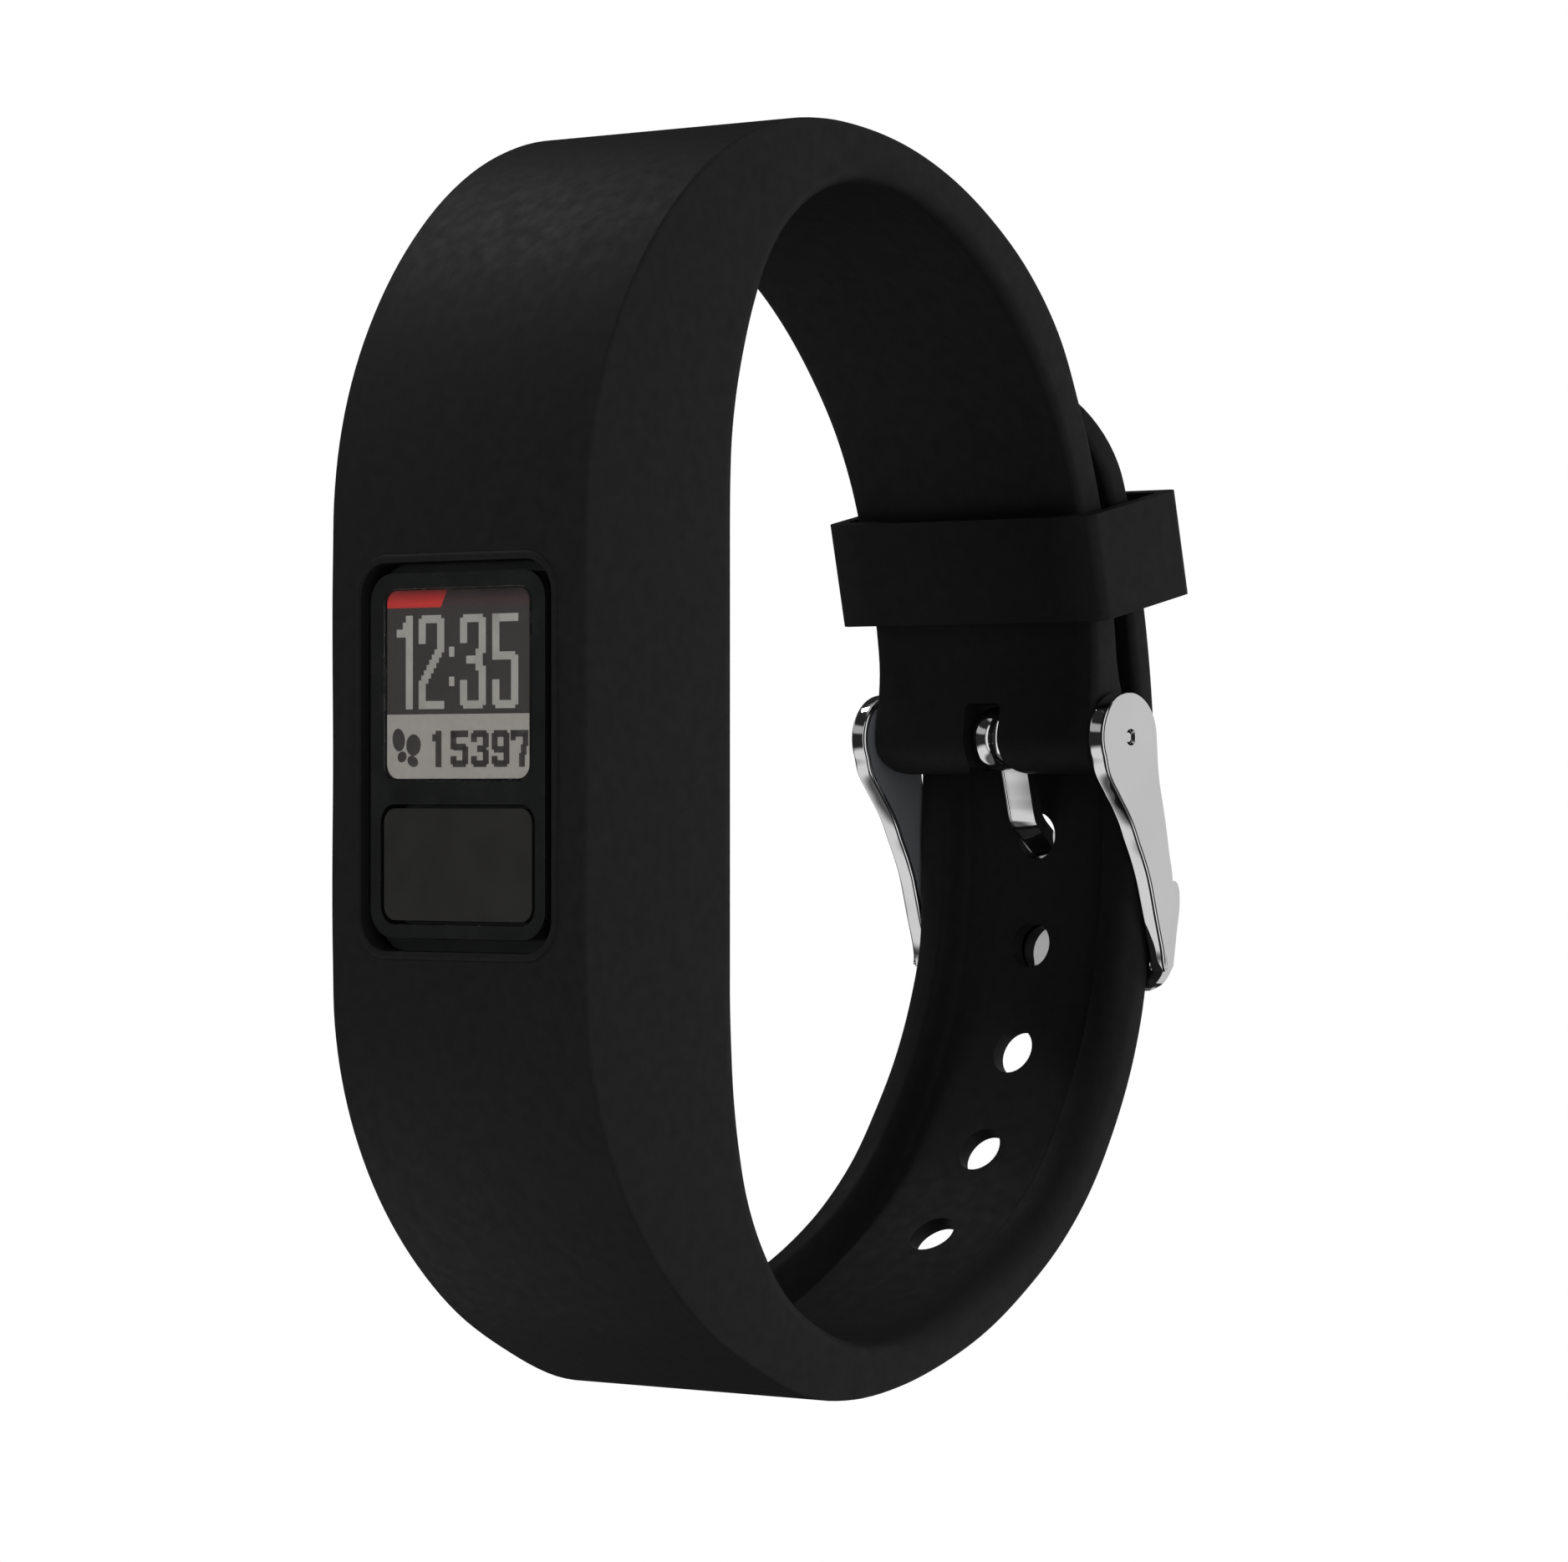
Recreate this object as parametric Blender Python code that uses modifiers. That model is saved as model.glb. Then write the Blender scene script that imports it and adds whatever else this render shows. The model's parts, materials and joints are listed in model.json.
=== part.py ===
"""Fitness tracker band: a silicone wrist strap with a clip-in tracker module and a steel pin buckle.

Frame: metres, +Z up. X is the wrist's axis, the display looks along -Y, and the origin is the middle
of the fastened loop. Dimensions below are millimetres, and MM turns them into metres.
"""

import math

import bmesh
import bpy
import numpy as np
from mathutils import Matrix

MM = 0.001
SAW = 0.3  # clearance kept between pieces that rest on each other

# Strap: one moulding, from the buckle end over the top, down the tracker's housing and round to the tail.
FRONT_Y = -25.7
HOUSING_INNER_Y = -13.0
HOUSING_HALF_WIDTH = 9.65
STRAP_HALF_WIDTH = 8.7
OUTER_EDGE = 0.25
STATION_SPACING = 2.1
TAIL_ROUNDING = 8.0
RAIL_FOOT = 0.72  # where a rail's inner slope starts and ends, as shares of the half width
CHANNEL_EDGE = 0.6
HOLE_RADIUS = 1.45
HOLE_PITCH = 6.66
HOLES_BELOW_TONGUE = 4
HOLES_ABOVE_TONGUE = 3
TONGUE_HOLE_Z = -4.8

# Spring bar and the strap end that holds it.
PIN_Y = 22.6
PIN_Z = 1.4
BARREL_RADIUS = 2.2
BARREL_BORE = 1.2
SLOT_WIDTH = 2.7
SLOT_TOP_Z = 3.6
BAR_RADIUS = 0.9
BAR_BORE = 0.62
BAR_HALF_LENGTH = 8.4
TIP_NOSE_RADIUS = 0.42
TIP_PISTON_RADIUS = 0.52
TIP_INNER_X = 6.5
TIP_SHOULDER_X = 8.1
TIP_OUTER_X = 9.6
COIL_RADIUS = 0.36
COIL_WIRE = 0.08
COIL_TURNS = 8
COIL_POINTS_PER_TURN = 9

# Buckle frame and tongue.
ARM_INNER_X = 8.62
ARM_THICKNESS = 1.2
HEAD_RADIUS = 2.72
HEAD_HOLE = 0.62
TONGUE_WIDTH = 2.0
TONGUE_EYE_RADIUS = 2.0
TONGUE_EYE_HOLE = 1.15
TONGUE_THICKNESS = 0.6

# Keeper loop round both straps.
KEEPER_Y = 23.1
KEEPER_Z = 12.35
KEEPER_TILT = math.radians(12.5)
KEEPER_HALF_HEIGHT = 3.18
KEEPER_INNER = (9.4, 3.55)
KEEPER_WALL = 0.9

# Housing: a window in the front lip and a pocket open towards the wrist.
LIP = 1.2
WINDOW = (6.95, 10.85, 1.9)
WINDOW_RIM = (7.25, 11.15, 2.2)
WINDOW_RIM_DEPTH = 0.3
POCKET = (8.1, 11.8, 1.3)

# Tracker module. Depths count from the strap's front face towards the wrist.
CASE = (7.8, 11.5, 1.1)
CASE_WALL = 0.9
CASE_FLANGE_DEPTH = 1.5
CASE_FLOOR_DEPTH = 2.3
CASE_END_DEPTH = 10.2
FACE_DEPTH = 0.05
FACE = (6.45, -9.95, 10.4, 1.7)
LENS = (5.6, -1.3, 9.35, 0.9)
LENS_DEPTHS = (0.1, 0.5)
LEDGE_DEPTH = 0.55
PANEL_INSET = 0.5
PANEL_DEPTHS = (0.6, 2.0)
BUTTON = (5.53, -9.1, -2.7, 0.85)
BUTTON_DEPTHS = (0.1, 1.0)
BUTTON_TRAVEL = 0.3
SEAL_DEPTHS = (1.4, 1.7)
SEAL_LEDGE_DEPTH = 1.85
SWITCH_DEPTHS = (2.55, 3.55)
BACKPLATE_DEPTHS = (2.4, 3.1)
BOARD = (6.6, 10.3, 0.8)
BOARD_DEPTHS = (3.9, 4.7)
CHIP_DEPTHS = (5.0, 5.9)
BOSS_PLACE = (6.1, 9.8)
BOSS_RADIUS = 1.15
BOSS_HOLE = 0.75
BOSS_START_DEPTH = 5.1
CELL_RADIUS = 5.8
CELL_DEPTHS = ((6.5, 8.4), (8.7, 10.6))
TRAY_DEPTHS = (6.9, 9.8)
CONTACT_DEPTHS = ((6.15, 6.3), (10.8, 10.95))
GASKET_DEPTHS = (10.4, 10.9)
COVER_DEPTHS = (11.15, 12.5)
SCREW_HEAD_RADIUS = 0.95
SCREW_SHANK_RADIUS = 0.5
SCREW_HEAD_DEPTHS = (12.0, 12.4)
SCREW_TIP_DEPTH = 7.6
COUNTERBORE = 1.25
COUNTERBORE_DEPTH = 11.75

# The strap's side view: outer y, outer z, inner y, inner z, half width, then the inner edge's rounding
# (its depth and its width) and how deep the channel between the two inner rails is.
STRAP_STATIONS = (
    (24.35, 2.6, 20.55, 2.7, 8.5, 0.5, 0.5, 0.0),
    (23.6, 4.0, 20.72, 4.0, 8.5, 0.5, 0.5, 0.0),
    (23.15, 5.6, 20.8, 5.5, 8.5, 0.5, 0.5, 0.0),
    (22.8, 8.0, 20.6, 7.9, 8.55, 0.5, 0.5, 0.0),
    (22.25, 11.0, 20.12, 10.6, 8.6, 0.5, 0.5, 0.0),
    (21.5, 14.2, 19.4, 13.6, 8.7, 0.5, 0.5, 0.0),
    (20.4, 17.7, 18.35, 16.9, 8.75, 0.5, 0.5, 0.0),
    (18.9, 21.3, 16.85, 20.1, 8.85, 0.6, 0.6, 0.0),
    (16.85, 25.2, 14.6, 23.5, 9.0, 0.7, 0.7, 0.0),
    (13.7, 28.85, 11.7, 26.8, 9.15, 0.8, 0.8, 0.0),
    (9.85, 31.75, 8.4, 29.5, 9.3, 0.9, 0.9, 0.0),
    (6.2, 33.75, 5.1, 31.4, 9.4, 0.9, 0.9, 0.0),
    (2.2, 35.2, 1.6, 32.6, 9.5, 0.9, 0.9, 0.0),
    (-1.8, 36.0, -2.0, 32.9, 9.55, 1.0, 1.0, 0.0),
    (-5.65, 36.22, -5.3, 32.0, 9.6, 1.1, 1.1, 0.0),
    (-9.7, 35.7, -8.2, 30.0, 9.65, 1.2, 1.2, 0.0),
    (-13.5, 34.2, -10.0, 27.6, 9.65, 1.3, 1.3, 0.0),
    (-16.9, 31.85, -11.1, 25.1, 9.65, 1.3, 1.3, 0.0),
    (-20.1, 28.5, -11.9, 22.6, 9.65, 1.3, 1.3, 0.0),
    (-22.5, 24.9, -12.5, 20.1, 9.65, 1.3, 1.3, 0.0),
    (-24.2, 21.2, -12.85, 17.7, 9.65, 1.3, 1.3, 0.0),
    (-25.2, 17.6, -12.97, 15.4, 9.65, 1.3, 1.3, 0.0),
    (-25.62, 14.4, -13.0, 13.3, 9.65, 1.3, 1.3, 0.0),
    (-25.7, 11.6, -13.0, 11.4, 9.65, 1.3, 1.3, 0.0),
    (-25.7, 0.0, -13.0, 0.0, 9.65, 1.3, 1.3, 0.0),
    (-25.7, -11.6, -13.0, -11.4, 9.65, 1.3, 1.3, 0.0),
    (-25.6, -14.5, -13.0, -13.4, 9.65, 1.3, 1.3, 0.0),
    (-25.05, -17.8, -12.9, -16.0, 9.65, 1.3, 1.3, 0.0),
    (-23.85, -21.4, -12.7, -18.8, 9.65, 1.3, 1.3, 0.0),
    (-22.0, -24.9, -12.3, -21.5, 9.65, 1.3, 1.3, 0.0),
    (-19.3, -28.4, -11.6, -24.4, 9.65, 1.3, 1.3, 0.0),
    (-15.8, -31.6, -10.4, -27.2, 9.65, 1.2, 1.2, 0.0),
    (-11.7, -34.05, -8.5, -29.9, 9.65, 1.1, 1.1, 0.0),
    (-7.0, -36.02, -5.6, -32.0, 9.6, 1.0, 1.0, 0.0),
    (-2.75, -36.47, -2.3, -33.2, 9.55, 0.9, 1.2, 0.6),
    (1.5, -36.0, 1.28, -33.15, 9.5, 1.1, 1.7, 1.3),
    (5.55, -34.95, 4.73, -32.33, 9.4, 1.3, 2.0, 1.7),
    (9.65, -33.4, 8.32, -30.88, 9.25, 1.4, 2.1, 1.8),
    (13.6, -31.2, 12.04, -29.03, 9.1, 1.4, 2.1, 1.65),
    (17.1, -28.65, 15.31, -26.8, 9.0, 1.4, 2.1, 1.6),
    (19.95, -25.75, 18.01, -24.16, 8.9, 1.4, 2.1, 1.55),
    (22.3, -22.35, 20.14, -21.1, 8.8, 1.4, 2.1, 1.5),
    (24.15, -18.85, 21.89, -18.0, 8.7, 1.4, 2.1, 1.42),
    (25.45, -15.3, 23.17, -14.73, 8.6, 1.4, 2.1, 1.4),
    (26.2, -11.9, 23.96, -11.47, 8.5, 1.4, 2.1, 1.35),
    (26.65, -8.3, 24.45, -8.15, 8.5, 1.4, 2.1, 1.35),
    (26.85, -4.6, 24.7, -4.6, 8.5, 1.3, 2.0, 1.3),
    (26.85, -0.5, 25.05, -0.62, 8.5, 0.9, 1.4, 0.95),
    (26.55, 4.0, 25.0, 3.7, 8.5, 0.5, 0.7, 0.65),
    (25.95, 8.3, 24.4, 7.9, 8.5, 0.5, 0.5, 0.65),
    (25.05, 12.5, 23.5, 12.0, 8.5, 0.5, 0.5, 0.6),
    (23.8, 16.7, 22.3, 16.0, 8.5, 0.5, 0.5, 0.5),
    (22.4, 20.3, 21.0, 19.5, 8.5, 0.5, 0.5, 0.25),
    (20.5, 24.2, 19.2, 23.3, 8.5, 0.5, 0.5, 0.0),
)
BARREL_ANGLES = (-82, -60, -35, -10, 12)
BARREL_HALF_WIDTHS = (7.3, 8.05, 8.4, 8.5, 8.5)

# The buckle arm's side view below its round head, and the crossbar's section. Both are (y, z).
ARM_INNER_EDGE = (
    (20.35, -0.5), (21.48, -2.07), (22.29, -3.06), (22.8, -3.8), (23.35, -4.85), (23.9, -5.85),
    (24.45, -7.05), (24.86, -8.34), (25.23, -9.62), (25.56, -10.66), (25.8, -11.5), (25.95, -12.3),
    (26.25, -12.6),
)
ARM_OUTER_EDGE = (
    (26.65, -12.6), (26.85, -12.2), (27.15, -10.4), (27.46, -8.4), (27.35, -7.85), (26.91, -6.95),
    (26.62, -5.7), (26.3, -4.1), (25.97, -2.69), (25.6, -1.2),
)
CROSSBAR = (
    (26.82, -7.6), (27.1, -7.5), (27.38, -7.85), (27.46, -8.4), (27.15, -10.4), (26.83, -12.3),
    (26.58, -13.6), (26.3, -13.95), (26.0, -13.75), (26.28, -12.3), (26.62, -10.4), (26.85, -8.4),
)
# The tongue's middle line below its eye, (y, z).
TONGUE_LINE = (
    (24.2, 0.9), (24.22, -0.5), (24.28, -1.6), (24.47, -2.55), (24.98, -3.5), (26.0, -4.55),
    (27.0, -5.4), (27.8, -6.3), (28.1, -7.5), (28.0, -9.4), (27.65, -11.2),
)

# name: (red, green, blue), roughness, metallic
FINISHES = {
    "silicone_black": ((0.012, 0.012, 0.013), 0.55, 0.0),
    "case_black": ((0.016, 0.016, 0.017), 0.35, 0.0),
    "button_black": ((0.014, 0.014, 0.014), 0.45, 0.0),
    "polished_steel": ((0.78, 0.78, 0.8), 0.12, 1.0),
    "spring_steel": ((0.55, 0.55, 0.57), 0.3, 1.0),
    "lens_clear": ((0.05, 0.05, 0.05), 0.05, 0.0),
    "display_grey": ((0.2, 0.19, 0.18), 0.3, 0.0),
    "backplate_white": ((0.8, 0.8, 0.78), 0.5, 0.0),
    "polyimide": ((0.5, 0.22, 0.03), 0.4, 0.0),
    "board_green": ((0.02, 0.12, 0.05), 0.5, 0.0),
    "chip_black": ((0.02, 0.02, 0.022), 0.4, 0.0),
    "gold_plate": ((0.8, 0.6, 0.25), 0.25, 1.0),
    "cell_steel": ((0.7, 0.7, 0.7), 0.25, 1.0),
    "seal_red": ((0.25, 0.02, 0.02), 0.6, 0.0),
    "tray_grey": ((0.15, 0.15, 0.16), 0.6, 0.0),
}


def clear_scene():
    for thing in list(bpy.data.objects):
        bpy.data.objects.remove(thing, do_unlink=True)


def new_collection(name):
    made = bpy.data.collections.new(name)
    bpy.context.scene.collection.children.link(made)
    return made


def make_materials():
    made = {}
    for name, (colour, roughness, metallic) in FINISHES.items():
        material = bpy.data.materials.new(name)
        material.use_nodes = True
        shader = material.node_tree.nodes["Principled BSDF"]
        shader.inputs["Base Color"].default_value = (*colour, 1.0)
        shader.inputs["Roughness"].default_value = roughness
        shader.inputs["Metallic"].default_value = metallic
        material.diffuse_color = (*colour, 1.0)
        made[name] = material
    return made


def add_object(name, data, finish, location=(0, 0, 0), rotation=(0, 0, 0)):
    """An object of the tracker band, or a hidden cutter where finish is None. Location is in millimetres."""
    thing = bpy.data.objects.new(name, data)
    thing.location = [value * MM for value in location]
    thing.rotation_euler = rotation
    if finish is None:
        CUTTERS.objects.link(thing)
        thing.hide_render = True
        thing.display_type = "WIRE"
    else:
        PARTS.objects.link(thing)
        data.materials.append(MATERIALS[finish])
    return thing


def flatten_curve(name, curve):
    """The welded mesh of a curve."""
    holder = bpy.data.objects.new(name, curve)
    PARTS.objects.link(holder)
    bpy.context.view_layer.update()
    graph = bpy.context.evaluated_depsgraph_get()
    mesh = bpy.data.meshes.new_from_object(holder.evaluated_get(graph))
    bpy.data.objects.remove(holder, do_unlink=True)
    bpy.data.curves.remove(curve)
    mesh.name = name
    work = bmesh.new()
    work.from_mesh(mesh)
    bmesh.ops.remove_doubles(work, verts=work.verts, dist=1e-6)
    bmesh.ops.recalc_face_normals(work, faces=work.faces)
    work.to_mesh(mesh)
    work.free()
    return mesh


def slab_mesh(name, outlines, thickness):
    """A flat sheet in local XY, thickness thick about z = 0. Outlines after the first are its holes."""
    curve = bpy.data.curves.new(name, "CURVE")
    curve.dimensions = "2D"
    curve.fill_mode = "BOTH"
    curve.extrude = thickness * MM / 2
    for outline in outlines:
        line = curve.splines.new("POLY")
        line.points.add(len(outline) - 1)
        for point, (across, up) in zip(line.points, outline):
            point.co = (across * MM, up * MM, 0, 1)
        line.use_cyclic_u = True
    return flatten_curve(name, curve)


def plate(name, outlines, depths, finish):
    """A slab facing the front: outlines are (x, z), and it spans two depths behind the strap's front face."""
    shallow, deep = depths
    middle = (0, FRONT_Y + (shallow + deep) / 2, 0)
    mesh = slab_mesh(name, outlines, deep - shallow)
    return add_object(name, mesh, finish, middle, (math.pi / 2, 0, 0))


def side_slab(name, outlines, low_x, high_x, finish):
    """A slab seen from the side: outlines are (y, z), and it spans low_x to high_x."""
    mesh = slab_mesh(name, outlines, high_x - low_x)
    return add_object(name, mesh, finish, ((low_x + high_x) / 2, 0, 0), (math.pi / 2, 0, math.pi / 2))


def rounded_box(half_x, low, high, radius, steps=4):
    """Corner points of a rectangle with round corners, from -half_x to half_x and from low to high."""
    points = []
    corners = ((1, 1, 0), (-1, 1, 90), (-1, -1, 180), (1, -1, 270))
    for side_x, side_z, start in corners:
        centre_x = side_x * (half_x - radius)
        centre_z = (high - radius) if side_z > 0 else (low + radius)
        for step in range(steps + 1):
            turn = math.radians(start + 90 * step / steps)
            points.append((centre_x + radius * math.cos(turn), centre_z + radius * math.sin(turn)))
    return points


def centred_box(size):
    half_x, half_z, radius = size
    return rounded_box(half_x, -half_z, half_z, radius)


def grown(size, margin):
    """A (half x, low z, high z, radius) opening made larger all round by margin."""
    half_x, low, high, radius = size
    return rounded_box(half_x + margin, low - margin, high + margin, max(radius + margin, 0.2))


def circle(centre, radius, steps=16):
    return [
        (centre[0] + radius * math.cos(2 * math.pi * k / steps),
         centre[1] + radius * math.sin(2 * math.pi * k / steps))
        for k in range(steps)
    ]


def turned(name, profile, finish, location, rotation, steps=16, ring=False):
    """A Screw of profile, (radius, height) pairs that run down the outer side, turned about local Z."""
    mesh = bpy.data.meshes.new(name)
    points = [(radius * MM, 0, height * MM) for radius, height in profile]
    edges = [(k, k + 1) for k in range(len(points) - 1)]
    if ring:
        edges.append((len(points) - 1, 0))
    mesh.from_pydata(points, edges, [])
    thing = add_object(name, mesh, finish, location, rotation)
    screw = thing.modifiers.new("turn", "SCREW")
    screw.steps = steps
    screw.render_steps = steps
    screw.use_merge_vertices = True
    screw.merge_threshold = 1e-6
    screw.use_smooth_shade = True
    return thing


def rod(name, radius, length, location, rotation, finish=None, steps=16):
    """A straight round bar, centred on location, along local Z."""
    mesh = bpy.data.meshes.new(name)
    work = bmesh.new()
    bmesh.ops.create_cone(
        work, cap_ends=True, segments=steps, radius1=radius * MM, radius2=radius * MM, depth=length * MM
    )
    work.to_mesh(mesh)
    work.free()
    return add_object(name, mesh, finish, location, rotation)


def cut(thing, cutter, operation="DIFFERENCE"):
    modifier = thing.modifiers.new(cutter.name, "BOOLEAN")
    modifier.operation = operation
    modifier.object = cutter
    modifier.solver = "EXACT"


def soften(thing):
    """Smooth shading that keeps edges sharper than 30 degrees."""
    thing.data.shade_smooth()
    thing.data.set_sharp_from_angle(angle=math.radians(30))


# Strap ---------------------------------------------------------------------------------------------


class StrapPath:
    """The strap's side view as a smooth curve through STRAP_STATIONS, read at a distance along it."""

    def __init__(self):
        self.rows = np.array(STRAP_STATIONS, float)
        middle = (self.rows[:, 0:2] + self.rows[:, 2:4]) / 2
        steps = np.linalg.norm(np.diff(middle, axis=0), axis=1)
        self.along = np.concatenate([[0.0], np.cumsum(steps)])
        self.slopes = np.gradient(self.rows, self.along, axis=0)
        self.length = self.along[-1]

    def at(self, distance):
        """The six station values at a distance in millimetres from the buckle end."""
        k = int(np.clip(np.searchsorted(self.along, distance) - 1, 0, len(self.along) - 2))
        span = self.along[k + 1] - self.along[k]
        t = (distance - self.along[k]) / span
        start, end = self.rows[k], self.rows[k + 1]
        rise, fall = self.slopes[k] * span, self.slopes[k + 1] * span
        return (
            (2 * t**3 - 3 * t**2 + 1) * start
            + (t**3 - 2 * t**2 + t) * rise
            + (3 * t**2 - 2 * t**3) * end
            + (t**3 - t**2) * fall
        )

    def distance_of_z(self, height):
        """Where the tail side of the strap's outer face is at a height."""
        tail = [s for s in np.arange(self.length * 0.7, self.length, 0.05) if self.at(s)[1] >= height]
        return tail[0]


def tail_width(path, distance, half_width):
    """The half width, rounded off over the last TAIL_ROUNDING of the tail."""
    left = (path.length - distance) / TAIL_ROUNDING
    if left >= 1:
        return half_width
    return half_width * math.sqrt(max(1 - (1 - left) ** 2, 0.04))


def strap_stations(path):
    """All stations of the strap, from the buckle end's round nose to the tail's tip."""
    stations = []
    for angle, half_width in zip(BARREL_ANGLES, BARREL_HALF_WIDTHS):
        reach = BARREL_RADIUS * math.cos(math.radians(angle))
        height = PIN_Z + BARREL_RADIUS * math.sin(math.radians(angle))
        edge = min(0.5, 0.4 * reach)
        stations.append((PIN_Y + reach, height, PIN_Y - reach, height, half_width, edge, edge, 0.0))
    taper_start = path.length - TAIL_ROUNDING
    body = np.linspace(0, taper_start, round(taper_start / STATION_SPACING))
    taper = [path.length - TAIL_ROUNDING * (1 - math.sin(math.pi / 2 * k / 7)) for k in range(1, 8)]
    for distance in [*body, *taper]:
        values = path.at(distance)
        values[4] = tail_width(path, distance, values[4])
        stations.append(tuple(values))
    return stations


def strap_section(station):
    """The closed outline of the strap across one station, in millimetres."""
    outer = np.array(station[0:2])
    inner = np.array(station[2:4])
    half_width, edge, rail, channel = station[4:8]
    thickness = float(np.linalg.norm(outer - inner))
    outward = (outer - inner) / thickness
    edge = min(edge, thickness * 0.65)
    rail = min(rail, half_width * 0.25)
    ridge = min(OUTER_EDGE, thickness * 0.2)
    half = [(half_width - ridge, thickness), (half_width, thickness - ridge)]
    for step in range(4):
        turn = math.radians(30 * step)
        half.append((half_width - rail + rail * math.cos(turn), edge - edge * math.sin(turn)))
    half += [(half_width * RAIL_FOOT, 0.0), (half_width * CHANNEL_EDGE, max(channel, 0.0))]
    outline = half + [(-x, height) for x, height in reversed(half)]
    return [(x, *(inner + outward * height)) for x, height in outline]


def strap_mesh(path):
    """The strap lofted through its sections: no primitive has these unlike, curving sections."""
    mesh = bpy.data.meshes.new("strap")
    work = bmesh.new()
    rings = []
    for station in strap_stations(path):
        ring = [work.verts.new([value * MM for value in point]) for point in strap_section(station)]
        rings.append(ring)
    count = len(rings[0])
    for ring, following in zip(rings, rings[1:]):
        for k in range(count):
            n = (k + 1) % count
            work.faces.new((ring[k], ring[n], following[n], following[k]))
    work.faces.new(rings[0])
    work.faces.new(rings[-1])
    bmesh.ops.recalc_face_normals(work, faces=work.faces)
    work.to_mesh(mesh)
    work.free()
    return mesh


def hole_cutter(path):
    """One mesh of round bars, square to the strap at each adjustment hole."""
    mesh = bpy.data.meshes.new("hole_cutter")
    work = bmesh.new()
    start = path.distance_of_z(TONGUE_HOLE_Z)
    for k in range(-HOLES_BELOW_TONGUE, HOLES_ABOVE_TONGUE + 1):
        values = path.at(start + k * HOLE_PITCH)
        middle = (values[0:2] + values[2:4]) / 2
        outward = values[0:2] - values[2:4]
        tilt = math.atan2(outward[1], outward[0])
        made = bmesh.ops.create_cone(
            work, cap_ends=True, segments=16, radius1=HOLE_RADIUS * MM, radius2=HOLE_RADIUS * MM,
            depth=3 * MM,
        )["verts"]
        turn = Matrix.Rotation(tilt - math.pi / 2, 4, "X")
        place = Matrix.Translation((0, middle[0] * MM, middle[1] * MM))
        bmesh.ops.transform(work, matrix=place @ turn, verts=made)
    work.to_mesh(mesh)
    work.free()
    return add_object("hole_cutter", mesh, None)


def make_strap():
    path = StrapPath()
    band = add_object("band", strap_mesh(path), "silicone_black")
    soften(band)
    pocket_end = HOUSING_INNER_Y - FRONT_Y + 1
    cut(band, plate("pocket_cutter", [centred_box(POCKET)], (LIP, pocket_end), None))
    cut(band, plate("window_cutter", [centred_box(WINDOW)], (-1, LIP + 1), None))
    cut(band, plate("rim_cutter", [centred_box(WINDOW_RIM)], (-1, WINDOW_RIM_DEPTH), None))
    cut(band, hole_cutter(path))
    along_x = (0, math.pi / 2, 0)
    cut(band, rod("bore_cutter", BARREL_BORE, 30, (0, PIN_Y, PIN_Z), along_x))
    slot = rounded_box(SLOT_WIDTH / 2, -2, SLOT_TOP_Z, 0.4)
    slot_depths = (PIN_Y - BARREL_RADIUS - 1 - FRONT_Y, PIN_Y + BARREL_RADIUS + 0.3 - FRONT_Y)
    cut(band, plate("slot_cutter", [slot], slot_depths, None))


def make_keeper():
    half_x, half_y = KEEPER_INNER
    inside = rounded_box(half_x, -half_y, half_y, 0.5, 3)
    outside = rounded_box(
        half_x + KEEPER_WALL, -half_y - KEEPER_WALL, half_y + KEEPER_WALL, 0.7, 3
    )
    mesh = slab_mesh("keeper", [outside, inside], 2 * KEEPER_HALF_HEIGHT)
    add_object("keeper", mesh, "silicone_black", (0, KEEPER_Y, KEEPER_Z), (KEEPER_TILT, 0, 0))


# Buckle --------------------------------------------------------------------------------------------


def make_buckle_frame():
    """Two arms with round heads on the spring bar, joined by a crossbar outside the strap."""
    head = [
        (PIN_Y + HEAD_RADIUS * math.cos(math.radians(angle)),
         PIN_Z + HEAD_RADIUS * math.sin(math.radians(angle)))
        for angle in range(0, 211, 15)
    ]
    outline = [*head, *ARM_INNER_EDGE, *ARM_OUTER_EDGE]
    bore = circle((PIN_Y, PIN_Z), HEAD_HOLE, 12)
    arm_end = ARM_INNER_X + ARM_THICKNESS
    frame = side_slab("buckle_frame", [outline, bore], ARM_INNER_X, arm_end, "polished_steel")
    other = side_slab("arm_cutter", [outline, bore], -arm_end, -ARM_INNER_X, None)
    overlap = ARM_THICKNESS / 2
    bar = side_slab("crossbar_cutter", [CROSSBAR], -ARM_INNER_X - overlap, ARM_INNER_X + overlap, None)
    cut(frame, bar, "UNION")
    cut(frame, other, "UNION")


def offset_line(line, distance):
    """The points beside a line of (y, z) points, on its left by distance."""
    points = np.array(line, float)
    along = np.gradient(points, axis=0)
    along /= np.linalg.norm(along, axis=1)[:, None]
    left = np.stack([-along[:, 1], along[:, 0]], axis=1)
    return [tuple(point) for point in points + left * distance]


def make_tongue():
    """An eye round the spring bar and a bent strip through the strap's hole, over the crossbar."""
    half = TONGUE_THICKNESS / 2
    outer_side = offset_line(TONGUE_LINE, half)
    inner_side = offset_line(TONGUE_LINE, -half)
    eye = [
        (PIN_Y + TONGUE_EYE_RADIUS * math.cos(math.radians(angle)),
         PIN_Z + TONGUE_EYE_RADIUS * math.sin(math.radians(angle)))
        for angle in range(-15, 271, 15)
    ]
    outline = [*eye, *inner_side, *reversed(outer_side)]
    bore = circle((PIN_Y, PIN_Z), TONGUE_EYE_HOLE, 16)
    width = TONGUE_WIDTH / 2
    side_slab("buckle_tongue", [outline, bore], -width, width, "polished_steel")


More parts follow.
